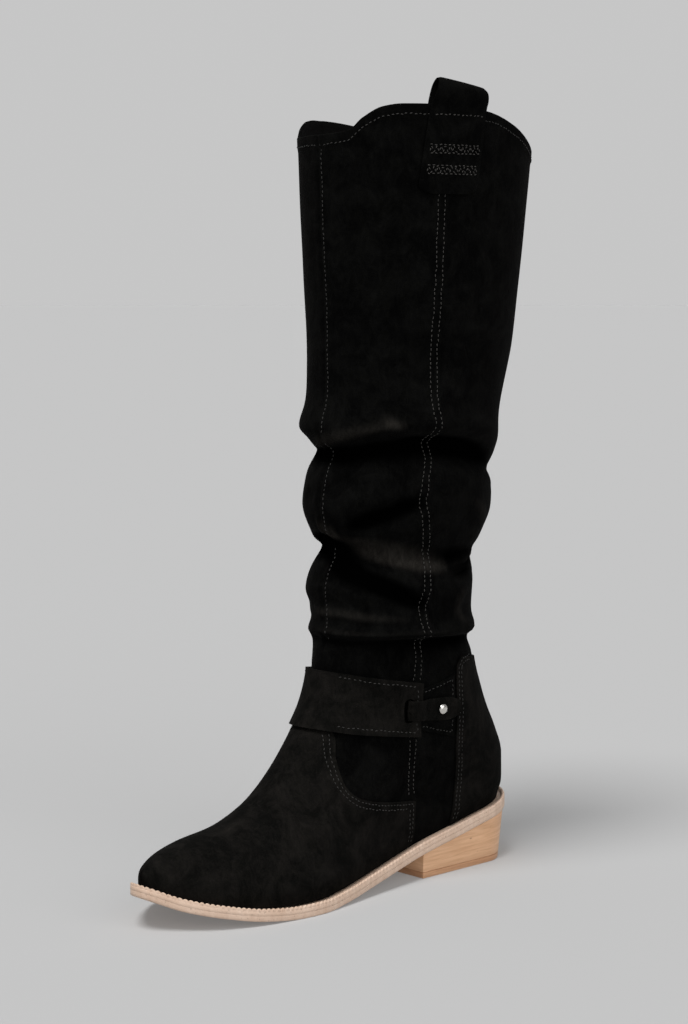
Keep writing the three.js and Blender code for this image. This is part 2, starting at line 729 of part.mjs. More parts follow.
// The stud: a low domed disc, turned to lie flat on the tab.
function studMesh(material) {
  const dome = [new THREE.Vector2(0, 0), new THREE.Vector2(studFoot, 0)];
  const steps = 4;
  for (let i = 0; i <= steps; i += 1) {
    const angle = (Math.PI / 2) * (i / steps);
    const height = studEdge + (studHeight - studEdge) * Math.sin(angle);
    dome.push(new THREE.Vector2(studRadius * Math.cos(angle), height));
  }
  dome[dome.length - 1].x = 0;
  const stud = new THREE.Mesh(new THREE.LatheGeometry(dome, 12), material);
  const { point, normal } = onUpper(lastLength * studPlace.along, up(studPlace.up));
  const foot = strapLow + tabThickness + 1.5 * gap;
  stud.position.copy(point).addScaledVector(normal, foot);
  stud.quaternion.setFromUnitVectors(new THREE.Vector3(0, 1, 0), normal);
  return stud;
}

// The leg's outer face at a place in the side view, carried straight on from near the collar.
const collarTop = upperPoint(collarKey, 0.5, 1).z;
function legWall(s, z) {
  const straightFrom = collarTop - pullTabLength / 4;
  const base = onUpper(s, Math.min(z, straightFrom));
  const level = base.normal.clone().setZ(0).normalize();
  if (z > straightFrom) {
    const lower = onUpper(s, straightFrom - pullTabLength / 3).point;
    const climb = base.point.clone().sub(lower);
    base.point.addScaledVector(climb, (z - straightFrom) / climb.z);
  }
  return { point: base.point, level };
}

// The pull tab: a strip sewn outside the leg, looped over the collar and sewn down inside.
function pullTabGeometry() {
  const across = [-1, -0.6, -0.2, 0.2, 0.6, 1];
  const outerMiddle = pullTabPlace.outside + pullTabThickness / 2;
  const innerMiddle = -wall - pullTabPlace.inside - pullTabThickness / 2;
  const path = pullLoop.map((row) => ({
    out: innerMiddle + (outerMiddle - innerMiddle) * row.outer + pullTabRise * row.swell,
    z: collarTop + pullTabLength * row.leg + pullTabRise * row.high,
    high: row.high,
  }));
  const rings = path.map((step, i) => {
    const before = path[Math.max(i - 1, 0)];
    const after = path[Math.min(i + 1, path.length - 1)];
    const run = new THREE.Vector2(after.out - before.out, after.z - before.z).normalize();
    const width = pullTabWidth + (pullLoopWidth - pullTabWidth) * step.high;
    const lean = pullTabPlace.lean * (step.z - collarTop + pullTabLength / 2);
    const sides = across.map((w) => {
      const s = lastLength * pullTabPlace.along + lean + (w * width) / 2;
      const z = step.z + (pullLoopTilt / 2) * step.high * w;
      const { point, level } = legWall(s, z);
      const centre = point.setZ(z).addScaledVector(level, step.out);
      const thick = level.multiplyScalar(run.y).add(new THREE.Vector3(0, 0, -run.x));
      thick.multiplyScalar(pullTabThickness / 2);
      return [centre.clone().add(thick), centre.clone().sub(thick)];
    });
    return [...sides.map((pair) => pair[0]), ...sides.map((pair) => pair[1]).reverse()];
  });
  return ribbonGeometry(rings);
}

// Stations along the boot, close together where its ends are round.
function stations(from, to, count) {
  const list = [];
  for (let i = 0; i <= count; i += 1)
    list.push(from + ((to - from) * (1 - Math.cos((Math.PI * i) / count))) / 2);
  return list;
}

// A plate from its cross sections: each has a left and right edge below and above.
function plateGeometry(rows) {
  return ribbonGeometry(
    rows.map(({ below, above }) => [
      world(below.middle - below.half, below.s, below.z),
      world(below.middle + below.half, below.s, below.z),
      world(above.middle + above.half, above.s, above.z),
      world(above.middle - above.half, above.s, above.z),
    ]),
  );
}

// A plate that follows the sole's line, grown past the last's outline and between two levels
// above the sole's underside.
function solePlate(grow, low, high) {
  return plateGeometry(
    stations(-grow, lastLength + grow, soleStations).map((s) => {
      const edge = { s, middle: middleAt(s), half: outlineHalf(s, grow) };
      return {
        below: { ...edge, z: underside(s) + low },
        above: { ...edge, z: underside(s) + high },
      };
    }),
  );
}

// The welt: a ring round the last with a low bead along its outer edge.
function weltGeometry() {
  const low = outsoleThickness + gap;
  const section = [
    { grow: -ringInset, level: low },
    { grow: soleLedge, level: low },
    { grow: soleLedge, level: soleStack + beadHeight * 0.6 },
    { grow: soleLedge - beadWidth * 0.5, level: soleStack + beadHeight },
    { grow: soleLedge - beadWidth, level: soleStack },
    { grow: -ringInset, level: soleStack },
  ];
  const steps = 2 * soleStations;
  const points = [];
  for (let i = 0; i < steps; i += 1) {
    const angle = (2 * Math.PI * i) / steps;
    const side = Math.sin(angle) >= 0 ? 1 : -1;
    for (const { grow, level } of section) {
      const s = lastLength / 2 - (lastLength / 2 + grow) * Math.cos(angle);
      const x = middleAt(s) + side * outlineHalf(s, grow);
      points.push(world(x, s, underside(s) + level));
    }
  }
  const size = section.length;
  const triangles = [];
  for (let i = 0; i < steps; i += 1)
    for (let j = 0; j < size; j += 1) {
      const next = ((i + 1) % steps) * size;
      const a = i * size + j;
      const b = i * size + ((j + 1) % size);
      triangles.push([a, b, next + ((j + 1) % size)], [a, next + ((j + 1) % size), next + j]);
    }
  return closedGeometry(points, triangles);
}

// The heel between two levels: wide as the sole at its top, drawn in a little at its floor end.
// A level of null is the sole's underside.
function heelGeometry(lowLevel, highLevel) {
  const breast = heelInset + heelLength;
  const topGrow = soleLedge - heelSetback;
  const atFloor = (share) => {
    const s = breast - heelLength * share;
    const half = (heelWidth / 2) * roundEnd((s - heelInset) / heelCorner);
    return { s, middle: 0, half, z: 0 };
  };
  const atSole = (share) => {
    const s = breast - (breast + topGrow) * share;
    return { s, middle: middleAt(s), half: outlineHalf(s, topGrow), z: underside(s) - gap };
  };
  const between = (share, level) => {
    const floor = atFloor(share);
    const sole = atSole(share);
    const climbed = level === null ? 1 : level / heelHeight;
    const mix = (name) => floor[name] + (sole[name] - floor[name]) * climbed;
    return { s: mix("s"), middle: mix("middle"), half: mix("half"), z: level ?? sole.z };
  };
  const rows = [];
  for (let i = 0; i <= heelStations; i += 1) {
    const share = Math.sin(((Math.PI / 2) * i) / heelStations);
    rows.push({ below: between(share, lowLevel), above: between(share, highLevel) });
  }
  return plateGeometry(rows);
}

const suede = (colour) =>
  new THREE.MeshStandardMaterial({ color: colour, roughness: 0.95, metalness: 0 });
const upperSuede = suede(0x131211);
const panelSuede = suede(0x1c1a19);
const tanLeather = new THREE.MeshStandardMaterial({ color: 0xa88e78, roughness: 0.6 });
const stackedHeel = new THREE.MeshStandardMaterial({ color: 0xc39a78, roughness: 0.55 });
const lining = new THREE.MeshStandardMaterial({ color: 0x2a2624, roughness: 0.8 });
const polishedSteel = new THREE.MeshStandardMaterial({
  color: 0xc8c8c8,
  roughness: 0.2,
  metalness: 1,
});

const boot = new THREE.Group();
function add(name, shape, material) {
  const mesh = shape.isMesh ? shape : new THREE.Mesh(shape, material);
  mesh.name = name;
  boot.add(mesh);
}

add("upper", upperGeometry(), upperSuede);
add("vamp", geometryOf(vampSolid()), panelSuede);
add("counter", geometryOf(counterSolid()), panelSuede);
add("ankle_strap", geometryOf(strapSolid()), panelSuede);
add("strap_anchor", geometryOf(anchorSolid()), upperSuede);
add("strap_tab", tabGeometry(), panelSuede);
add("strap_stud", studMesh(polishedSteel));
add("pull_tab", pullTabGeometry(), panelSuede);
add("welt", weltGeometry(), tanLeather);
add("outsole", solePlate(soleLedge, 0, outsoleThickness), tanLeather);
const insoleLow = outsoleThickness + gap;
add("insole", solePlate(-insoleInset, insoleLow, insoleLow + insoleThickness), lining);
add("heel_block", heelGeometry(liftThickness + gap, null), stackedHeel);
add("heel_lift", heelGeometry(0, liftThickness), stackedHeel);

export default boot;
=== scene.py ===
"""A left slouch boot in black suede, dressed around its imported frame."""
import math

import bmesh
import bpy
import numpy as np
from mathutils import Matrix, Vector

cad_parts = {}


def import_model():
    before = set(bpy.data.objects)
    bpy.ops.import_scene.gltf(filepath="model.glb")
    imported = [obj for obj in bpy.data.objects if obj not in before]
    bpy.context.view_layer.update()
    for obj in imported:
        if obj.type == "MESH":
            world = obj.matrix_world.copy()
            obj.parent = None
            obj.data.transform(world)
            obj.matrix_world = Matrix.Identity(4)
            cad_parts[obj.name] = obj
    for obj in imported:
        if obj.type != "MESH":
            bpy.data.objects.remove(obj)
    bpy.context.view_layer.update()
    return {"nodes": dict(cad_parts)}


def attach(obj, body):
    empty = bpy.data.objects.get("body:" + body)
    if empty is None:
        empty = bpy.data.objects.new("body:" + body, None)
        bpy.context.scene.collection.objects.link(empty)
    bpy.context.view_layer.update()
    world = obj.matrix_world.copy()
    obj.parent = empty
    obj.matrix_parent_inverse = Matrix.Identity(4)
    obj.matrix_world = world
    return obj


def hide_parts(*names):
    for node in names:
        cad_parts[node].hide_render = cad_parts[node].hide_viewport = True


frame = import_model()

# The boot's own sizes in millimetres: s runs from the heel to the toe, z is up from the floor
MM = 0.001
LAST_LENGTH = 258
BALL_WIDTH = 71
HEEL_HEIGHT = 30
TOE_SPRING = 16.5
INSTEP_HEIGHT = 88
LEG_HEIGHT = 392
ANKLE_WIDTH = 75
CALF_WIDTH = 110
WALL = 2
GAP = 0.3
OVERLAY = 1
STRAP = 1.8
TAB = 1.2
PULL_TAB = 1.6
OUTSOLE = 3.2
WELT = 2.3
SOLE_LEDGE = 4.5
BEAD_HEIGHT = 1.6
BEAD_WIDTH = 2.4
FEATHER_TUCK = 2
TUCK_RISE = 11
HEEL_CURVE = 30
TOE_CURVE = 44
TOE_POWER = 2.1
LIFT = 3.4
HEEL_LENGTH = 77.5
HEEL_INSET = 4
HEEL_WIDTH = 62
HEEL_CORNER = 23
SOLE_STACK = OUTSOLE + WELT
SEAT = HEEL_HEIGHT + SOLE_STACK
HEEL_MIDDLE = HEEL_INSET + HEEL_LENGTH / 2
OVERLAY_LOW = GAP
OVERLAY_HIGH = GAP + OVERLAY
STRAP_LOW = OVERLAY_HIGH + GAP
STRAP_HIGH = STRAP_LOW + STRAP
FAR_OUT = LAST_LENGTH / 2


def columns(names, rows):
    """A table as one array for each named column."""
    return dict(zip(names.split(), np.array(rows, float).T))


# Plan of the last, as shares of its length and of the ball's width
plan = columns("along middle half", [
    (0.0, 0.0, 0.394), (0.1, 0.0, 0.399), (0.22, 0.014, 0.385), (0.34, 0.042, 0.359),
    (0.46, 0.07, 0.38), (0.58, 0.085, 0.437), (0.68, 0.063, 0.5), (0.78, 0.035, 0.479),
    (0.88, 0.0, 0.408), (0.95, 0.0, 0.31), (1.0, 0.007, 0.218)])

# Side line of the sole's underside, as shares of heel height and toe spring
rise = columns("along heel toe", [
    (0.0, 1.0, 0), (0.1, 0.86, 0), (0.2, 0.683, 0), (0.3, 0.507, 0), (0.4, 0.323, 0), (0.5, 0.15, 0),
    (0.58, 0.045, 0), (0.64, 0, 0), (0.71, 0, 0), (0.8, 0, 0.12), (0.88, 0, 0.36), (0.95, 0, 0.65),
    (1.0, 0, 1.0)])

# Leg: height over the seat as a share of its length, back and front as shares of the last's
# length, half width as a share of the calf's
leg = columns("height back front half", [
    (0.0, 0.0, 0.6, 0.273), (0.025, -0.008, 0.59, 0.288), (0.063, -0.01, 0.57, 0.3),
    (0.101, 0.012, 0.55, 0.31), (0.14, 0.045, 0.535, 0.32), (0.165, 0.062, 0.525, 0.324),
    (0.216, 0.087, 0.51, 0.33), (0.26, 0.096, 0.497, 0.338), (0.3, 0.096, 0.493, 0.342),
    (0.357, 0.087, 0.493, 0.353), (0.421, 0.066, 0.495, 0.375), (0.498, 0.041, 0.497, 0.396),
    (0.575, 0.018, 0.498, 0.413), (0.626, 0.0, 0.496, 0.426), (0.677, -0.016, 0.496, 0.441),
    (0.78, -0.038, 0.504, 0.462), (0.93, -0.064, 0.514, 0.49), (1.0, -0.073, 0.516, 0.5)])

# Sections over the foot and round the leg; mesh_rows is the mesh's rows up to the next section
foot_sections = columns("foot ridge rise round power mesh_rows", [
    (1.0, 1.0, 0.045, 1, 2, 3), (0.996, 0.9973, 0.08, 1, 2, 3), (0.977, 0.981, 0.14, 1, 2, 6),
    (0.93, 0.938, 0.237, 1, 2.1, 7), (0.853, 0.868, 0.33, 1, 2.1, 7), (0.756, 0.787, 0.42, 1, 2.05, 7),
    (0.64, 0.713, 0.54, 1, 2, 7), (0.504, 0.647, 0.7, 0.97, 1.95, 9),
    (0.349, 0.579, 0.895, 0.9, 1.95, 10), (0.174, 0.531, 1.08, 0.75, 2, 4),
    (0.11, 0.522, 1.145, 0.7, 2, 3), (0.06, 0.516, 1.195, 0.65, 2, 3),
    (0.027, 0.513, 1.23, 0.63, 2, 3), (0.007, 0.511, 1.255, 0.61, 2, 2), (0.0, 0.51, 1.27, 0.6, 2, 7)])
leg_sections = columns("back front mesh_rows", [
    (0.063, 0.236, 8), (0.139, 0.246, 8), (0.211, 0.257, 13), (0.272, 0.272, 64), (0.49, 0.49, 34),
    (0.63, 0.63, 12), (0.8, 0.8, 10), (0.885, 0.9, 9), (0.9375, 0.9605, 0)])

collar = columns("place rise", [
    (0.0, 0.0), (0.135, 0.011), (0.325, 0.0335), (0.5, 0.046), (0.65, 0.0475), (0.833, 0.044),
    (0.893, 0.0385), (0.944, 0.0215), (0.967, 0.0065), (1.0, 0.0)])
COLLAR_BEND = (0.76, 0.93)
COLLAR_INNER_SHARE = 0.85
COLLAR_INNER_TURN = 0.3
COLLAR_TURN_RANGE = (1.2, 2.2)

# Where one form runs over into the next: shares of the instep's height, of the last's length and
# of the leg's height
FOOT_TO_LEG_UP = (0.09, 0.85)
FOOT_TO_LEG_ALONG = (0.62, 0.86)
MIDDLE_TO_LEG_UP = (0.35, 0.95)
HEEL_TO_LEG_BACK = (0, 0.27)

# Folds of the slouch: heights at front, side and back, how far each stands out, and its reach
folds = columns("front side back out_front out_side out_back reach", [
    (0.565, 0.5625, 0.529, 0.06, 0.05, 0.0, 0.023),
    (0.518, 0.529, 0.476, -0.07, -0.066, -0.03, 0.0166),
    (0.453, 0.455, 0.432, 0.055, 0.035, 0.05, 0.041),
    (0.394, 0.371, 0.369, -0.095, -0.066, -0.04, 0.019),
    (0.3355, 0.325, 0.3176, 0.047, 0.04, -0.012, 0.028),
    (0.274, 0.272, 0.264, 0.02, 0.048, 0.024, 0.013),
    (0.249, 0.246, 0.241, 0.0, -0.045, -0.015, 0.012)])
FOLD_SAG = 0.35
FOLD_UNDERCUT = 0.75
FOLDS_FROM = 0.18
MEDIAL_DROP = 0.014
MEDIAL_DEPTH = 0.85

# Creases, each a line of points round the leg: degrees from the back by the outer
# side, and millimetres over the floor. out is the depth, width its reach above the line in mm and
# under the share of that reach below it.
creases = [
    # width, under, out, line
    (5.5, 0.6, 2.2, [(206, 241), (185, 246), (160, 251), (140, 255.5), (122, 259)]),
    (2.6, 1.0, 0.9, [(140, 263), (131, 256), (122, 252)]),
    (7.0, 1.0, -1.6, [(128, 247), (103, 243.5), (80, 238.5), (60, 231), (42, 223)]),
    (5.0, 1.0, -1.2, [(199, 219), (187, 215.5)]),
    (7.0, 1.0, -1.5, [(174, 230), (150, 226)]),
    (5.0, 1.0, 1.2, [(168, 220), (150, 217), (128, 213.5)]),
    (5.5, 1.0, -2.8, [(170, 198), (158, 200), (142, 206), (122, 212.5), (108, 216)]),
    (8.0, 0.6, 4.0, [(188, 200), (172, 193), (150, 188), (125, 184), (104, 179.5), (84, 176)]),
    (3.0, 1.0, -2.2, [(206, 186), (185, 183), (165, 179.5), (148, 176.5)]),
    (7.0, 1.0, -3.6, [(178, 179), (155, 175), (135, 169), (116, 162), (100, 156)]),
    (4.0, 0.8, 1.8, [(196, 152), (181, 153), (162, 153), (145, 151), (120, 149.5), (106, 149)]),
    (2.4, 1.0, 1.2, [(200, 143.5), (170, 142.5), (134, 142), (102, 141.5), (70, 138.5), (42, 136.5)]),
    (2.8, 1.0, -1.8, [(200, 137.5), (165, 136.8), (130, 136.5), (100, 136), (70, 133.5), (46, 132)]),
    (3.0, 0.6, 1.6, [(88, 176.5), (68, 177), (52, 178), (36, 180)]),
    (3.5, 1.0, -2.2, [(84, 171.5), (66, 171.5), (50, 172.5), (34, 174)]),
    (3.2, 1.0, 1.7, [(64, 166), (72, 160), (76, 154), (70, 147), (58, 142.5)]),
    (4.5, 1.0, -1.4, [(90, 168), (88, 158), (86, 150)]),
    (4.5, 1.0, 1.4, [(74, 215), (62, 206), (53, 197)]),
    (4.0, 1.0, -1.0, [(84, 205), (72, 197), (64, 190)]),
    (3.5, 1.0, 1.0, [(62, 233), (50, 226), (40, 221)]),
    (5.0, 1.0, -0.9, [(160, 127), (120, 125), (80, 124)]),
    (4.0, 0.7, 1.6, [(30, 181), (10, 184), (-12, 186), (-30, 183)]),
    (5.0, 1.0, -1.5, [(26, 205), (5, 208), (-18, 204)]),
    (4.0, 1.0, 1.3, [(34, 160), (15, 156), (-10, 158), (-28, 163)]),
    (4.0, 0.7, 1.2, [(30, 250), (8, 246), (-14, 248)]),
    (5.5, 0.6, 2.0, [(330, 252), (300, 257), (268, 250), (240, 246), (222, 242)]),
    (6.0, 1.0, -1.6, [(336, 240), (300, 236), (262, 238), (236, 232)]),
    (6.0, 1.0, 1.4, [(332, 222), (296, 219), (262, 225)]),
    (4.5, 0.9, -2.0, [(322, 206), (284, 201), (250, 206), (226, 212)]),
    (6.0, 0.6, 2.2, [(340, 190), (302, 186), (256, 191), (214, 189)]),
    (4.0, 1.0, -2.0, [(332, 177), (288, 180), (244, 176), (214, 180)]),
    (4.5, 1.0, -1.5, [(310, 168), (280, 166), (252, 170)]),
    (4.0, 0.8, 1.6, [(328, 154), (284, 157), (238, 150), (212, 152)]),
    (2.8, 1.0, -1.6, [(338, 135), (288, 133), (240, 136), (206, 137)]),
    (14.0, 1.0, -1.1, [(150, 330), (120, 300), (100, 285)]),
    (12.0, 1.0, 1.0, [(60, 350), (80, 310)]),
    (9.0, 1.0, 1.0, [(172, 285), (150, 272), (128, 268)]),
    (12.0, 1.0, -1.0, [(230, 320), (270, 300), (300, 310)]),
]
MM_PER_DEGREE = 0.85
CREASE_FADE = 0.4

# Slow unevenness of slack suede: how far it stands out, where it sets in, where it grows faint and
# its share above that, and the heights of its waves
SLACK_OUT = 0.35
SLACK_FROM = (130, 150)
SLACK_FAINT = (330, 255)
SLACK_FAINT_SHARE = 0.4
SLACK_WAVES = (17, 43, 8.5)

# How far a fold or a crease stands out where painted shade darkens its hollow, and where its crest
# is made lighter, partly worn nap and partly a painted highlight
PAINTED_SHADE_FOLD = (-0.3, -4.5)
PAINTED_SHADE_CREASE = (-0.5, -2.6)
RUBBED_AND_LIT_CREASE = (0.6, 3.4)
RUB_AND_HIGHLIGHT_SHARE = 0.7

# Side seam: its place along the last at heights over the seat
seam = columns("height along", [
    (-0.05, 0.329), (0.03, 0.335), (0.055, 0.341), (0.12, 0.338), (0.2, 0.334), (0.26, 0.328),
    (0.318, 0.329), (0.375, 0.32), (0.42, 0.332), (0.461, 0.345), (0.49, 0.34), (0.533, 0.321),
    (0.601, 0.324), (0.71, 0.324), (0.87, 0.3225), (1.01, 0.3225)])
SEAM_STEP = 0.55
SEAM_REACH = 9
SEAM_DIP = 0.33
SEAM_DIP_REACH = 5
SEAM_HALF = 40
SEAM_FROM = 44
SEAM_SETS_IN = 6
FRONT_SEAM_FROM = 128
FRONT_SETS_IN = 8
FRONT_HALF_FROM = 60
FRONT_GROOVE = 0.6
FRONT_GROOVE_HALF = 0.9
FRONT_BANK = 0.3
FRONT_BANK_PLACE = 2.6
FRONT_BANK_HALF = 1.6
HEM_DEPTH = 5.5
HEM_STEP = 0.35

# Side view outlines of the overlays: along the last, up as a share of the instep height
vamp_edge = columns("along up", [
    (0.336, -0.35), (0.336, 0.0), (0.336, 0.08), (0.3363, 0.1), (0.338, 0.112), (0.345, 0.117),
    (0.39, 0.133), (0.434, 0.152), (0.475, 0.178), (0.51, 0.215), (0.532, 0.27), (0.541, 0.34),
    (0.541, 0.46), (0.53, 0.6), (0.55, 0.72)])
VAMP_TOP = (0.7, 1.2)
counter_edge = columns("along up", [
    (0.229, -0.3), (0.215, 0.05), (0.215, 0.27), (0.227, 0.494), (0.234, 0.733), (0.234, 0.92),
    (0.227, 0.975), (0.205, 1.015), (0.16, 1.02), (0.08, 1.0)])
strap_edges = columns("along low high", [
    (0.34, 0.534, 0.882), (0.44, 0.573, 0.932), (0.504, 0.6, 0.971), (0.57, 0.64, 1.005),
    (0.62, 0.66, 1.03)])
anchor_edge = columns("along up", [(0.348, 0.83), (0.243, 0.903), (0.236, 0.495), (0.348, 0.585)])
SLOT_PLACE = (0.3705, 0.709)
SLOT_LENGTH = 14
SLOT_WIDTH = 5.6
tab = columns("along up half over", [
    (0.2215, 0.683, 0.004, 0), (0.224, 0.684, 0.017, 0), (0.229, 0.686, 0.033, 0),
    (0.236, 0.688, 0.048, 0), (0.246, 0.69, 0.062, 0), (0.26, 0.694, 0.071, 0),
    (0.28, 0.698, 0.074, 0), (0.31, 0.7025, 0.07, 0), (0.323, 0.704, 0.068, 0.03),
    (0.33, 0.705, 0.068, 0.5), (0.3365, 0.706, 0.069, 1), (0.35, 0.7075, 0.0695, 1.1),
    (0.3615, 0.709, 0.07, 1), (0.365, 0.709, 0.07, 0.3), (0.368, 0.709, 0.07, 0.1)])
STUD_PLACE = (0.285, 0.699)
STUD_RADIUS = 2.9
STUD_HEIGHT = 1.7

# Pull tab, from the end sewn outside over the collar to the end sewn inside
pull_loop = columns("leg high outer swell", [
    (-1, 0, 1, 0), (-0.75, 0, 1, 0), (-0.5, 0, 1, 0), (-0.25, 0, 1, 0), (0, 0.12, 1, 0),
    (0, 0.45, 1, 0.1), (0, 0.76, 1, 0.11), (0, 0.94, 0.8, 0.06), (0, 1, 0.5, 0), (0, 0.94, 0.2, -0.06),
    (0, 0.76, 0, -0.11), (0, 0.45, 0, -0.1), (0, 0.12, 0, 0), (-0.25, 0, 0, 0), (-0.5, 0, 0, 0),
    (-0.72, 0, 0, 0)])
PULL_ALONG = 0.31
PULL_LEAN = -0.12
PULL_OUTSIDE = 0.42
PULL_INSIDE = 0.72
PULL_LENGTH = 44
PULL_RISE = 15
PULL_WIDTH = 36
PULL_LOOP_WIDTH = 30
PULL_TILT = 5
PULL_CORNER = 6

# Thread: HAND_SLIP is how far a stitch strays from its row, as a hand-guided seam does
STITCH_PITCH = 2.5
STITCH_LENGTH = 1.45
THREAD_RADIUS = 0.28
THREAD_SIDES = 6
HAND_SLIP = 0.16

# Rows of stitches: distances from a seam or an edge, and heights where the side rows end
SIDE_ROWS = (1.7, 5.6)
SIDE_ROWS_TOP = {1: 384, -1: 424}
FRONT_ROW = 2.6
PANEL_ROWS = (2.0, 4.6)
STRAP_ROW = 2.2
STRAP_ROW_ENDS = 3
WELT_ROOM = 2.5
NEAREST_SHARE = 0.95
ANCHOR_ROW_SHARE = 0.84
VAMP_ROWS_TOP = 0.6
COUNTER_ROWS_FROM = 44

# How high the thread lies over its leather
PANEL_LIFT = 0.05
FRONT_LIFT = 0.3
COLLAR_LIFT = 0.5
PULL_LIFT = 0.1

pull_rows = [
    # level as a share of the pull tab's length, height of its zigzag
    (-0.44, 1.4), (-0.71, 1.4), (-0.06, 0.0)]
ZIGZAG_BORDER = 2.2


def curve(table, key, column, runs_on=False):
    """A smooth curve through one column of a table, without overshoot between its rows."""
    at, value = table[key], table[column]
    slope = np.diff(value) / np.diff(at)
    product = slope[:-1] * slope[1:]
    total = np.where(product > 0, slope[:-1] + slope[1:], 1)
    tangent = np.concatenate((slope[:1], np.where(product > 0, 2 * product / total, 0), slope[-1:]))

    def read(x):
        x = np.asarray(x, float)
        place = np.clip(x, at[0], at[-1])
        i = np.clip(np.searchsorted(at, place) - 1, 0, len(slope) - 1)
        step = at[i + 1] - at[i]
        t = (place - at[i]) / step
        rest = 1 - t
        y = (1 + 2 * t) * rest * rest * value[i] + t * rest * rest * step * tangent[i]
        y = y + t * t * (3 - 2 * t) * value[i + 1] - t * t * rest * step * tangent[i + 1]
        if runs_on:
            y = y + (x - place) * np.where(x < at[0], tangent[0], tangent[-1])
        return y

    return read


def smooth(low, high, x):
    t = np.clip((x - low) / (high - low), 0, 1)
    return t * t * (3 - 2 * t)


def round_end(share, power=2.0):
    """A rounded end: 0 at its tip, 1 where it meets the full width."""
    t = np.clip(share, 0, 1)
    return (1 - (1 - t) ** power) ** (1 / power)


plan_middle = curve(plan, "along", "middle")
plan_half = curve(plan, "along", "half")
heel_rise = curve(rise, "along", "heel", True)
toe_rise = curve(rise, "along", "toe", True)
leg_back = curve(leg, "height", "back")
leg_front = curve(leg, "height", "front")
leg_half = curve(leg, "height", "half")
collar_rise = curve(collar, "place", "rise")
seam_along = curve(seam, "height", "along")


def middle_at(s):
    return BALL_WIDTH * plan_middle(s / LAST_LENGTH)


def underside(s):
    return HEEL_HEIGHT * heel_rise(s / LAST_LENGTH) + TOE_SPRING * toe_rise(s / LAST_LENGTH)


def feather(s):
    return SOLE_STACK + underside(s)


def leg_share(z):
    return (z - SEAT) / LEG_HEIGHT


def back_at(z):
    return LAST_LENGTH * leg_back(leg_share(z))


def front_at(z):
    return LAST_LENGTH * leg_front(leg_share(z))


def seam_at(z):
    return LAST_LENGTH * seam_along(leg_share(z))


def up(share):
    return SEAT + INSTEP_HEIGHT * share


def outline_half(s, grow=0.0):
    """Half width of the last's outline, grown outwards on every side."""
    back = round_end((s + grow) / (HEEL_CURVE + grow))
    toe = round_end((LAST_LENGTH + grow - s) / (TOE_CURVE + grow), TOE_POWER)
    return (BALL_WIDTH * plan_half(s / LAST_LENGTH) + grow) * back * toe


def world(x, s, z):
    return np.stack(np.broadcast_arrays(x, HEEL_MIDDLE - s, z), -1)


HEEL_KEY = len(foot_sections["foot"]) - 1
COLLAR_KEY = HEEL_KEY + len(leg_sections["back"])
foot_s = LAST_LENGTH * foot_sections["foot"]
ridge_s = LAST_LENGTH * foot_sections["ridge"]
leg_back_z = SEAT + LEG_HEIGHT * leg_sections["back"]
leg_front_z = SEAT + LEG_HEIGHT * leg_sections["front"]
sections = {
    "key": np.arange(COLLAR_KEY + 1.0),
    "back_s": np.append(foot_s, back_at(leg_back_z)),
    "back_z": np.append(feather(foot_s), leg_back_z),
    "front_s": np.append(ridge_s, front_at(leg_front_z)),
    "front_z": np.append(feather(ridge_s) + INSTEP_HEIGHT * foot_sections["rise"], leg_front_z),
    "round": np.append(foot_sections["round"], np.full(len(leg_sections["back"]), 0.5)),
    "power": np.append(foot_sections["power"], np.full(len(leg_sections["back"]), 2.0)),
}
section_at = {name: curve(sections, "key", name) for name in sections if name != "key"}


def fold_out(height, front, inner):
    """How far the folds push the leather out at a height; front is 1 at the front, -1 behind."""
    side = 1 - front * front
    drop = np.where(inner, MEDIAL_DROP * side, 0)
    depth = np.where(inner, 1 - (1 - MEDIAL_DEPTH) * side, 1)

    def mix(at_front, at_side, at_back):
        return at_side * side + (at_front * (1 + front) * front - at_back * (1 - front) * front) / 2

    out = 0
    for *levels, out_front, out_side, out_back, reach in zip(*folds.values()):
        offset = height - mix(*levels) + drop
        width = reach * np.where((offset < 0) & (out_side > 0), FOLD_UNDERCUT, 1)
        stands_out = ANKLE_WIDTH * depth * mix(out_front, out_side, out_back)
        out = out + stands_out * np.exp(-((offset / width) ** 2))
    return out


def crease_out(z, degrees):
    """The listed creases and a slow unevenness of slack suede."""
    out = 0
    for width, under, depth, line in creases:
        nearest = np.full(np.shape(z), 1e9)
        below = np.zeros(np.shape(z), bool)
        place = np.zeros(np.shape(z))
        for i, ((d0, z0), (d1, z1)) in enumerate(zip(line, line[1:])):
            across = ((degrees - d0 + 180) % 360 - 180) * MM_PER_DEGREE
            run = (d1 - d0) * MM_PER_DEGREE
            climb = z1 - z0
            t = np.clip((across * run + (z - z0) * climb) / (run * run + climb * climb), 0, 1)
            miss_z = z - z0 - t * climb
            miss = np.hypot(across - t * run, miss_z)
            nearer = miss < nearest
            nearest = np.where(nearer, miss, nearest)
            below = np.where(nearer, miss_z < 0, below)
            place = np.where(nearer, (i + t) / (len(line) - 1), place)
        fade = np.clip(4 * place * (1 - place), 0, 1) ** CREASE_FADE
        out = out + depth * fade * np.exp(-(nearest / (width * np.where(below, under, 1))) ** 2)
    turn = np.radians(degrees)
    faint = SLACK_FAINT_SHARE + (1 - SLACK_FAINT_SHARE) * smooth(*SLACK_FAINT, z)
    middling, long, short = SLACK_WAVES
    waves = np.sin(z / middling + 2 * turn) * np.sin(z / long + turn + 1)
    waves = waves + 0.6 * np.sin(z / short - 3 * turn)
    return out + SLACK_OUT * smooth(*SLACK_FROM, z) * faint * waves


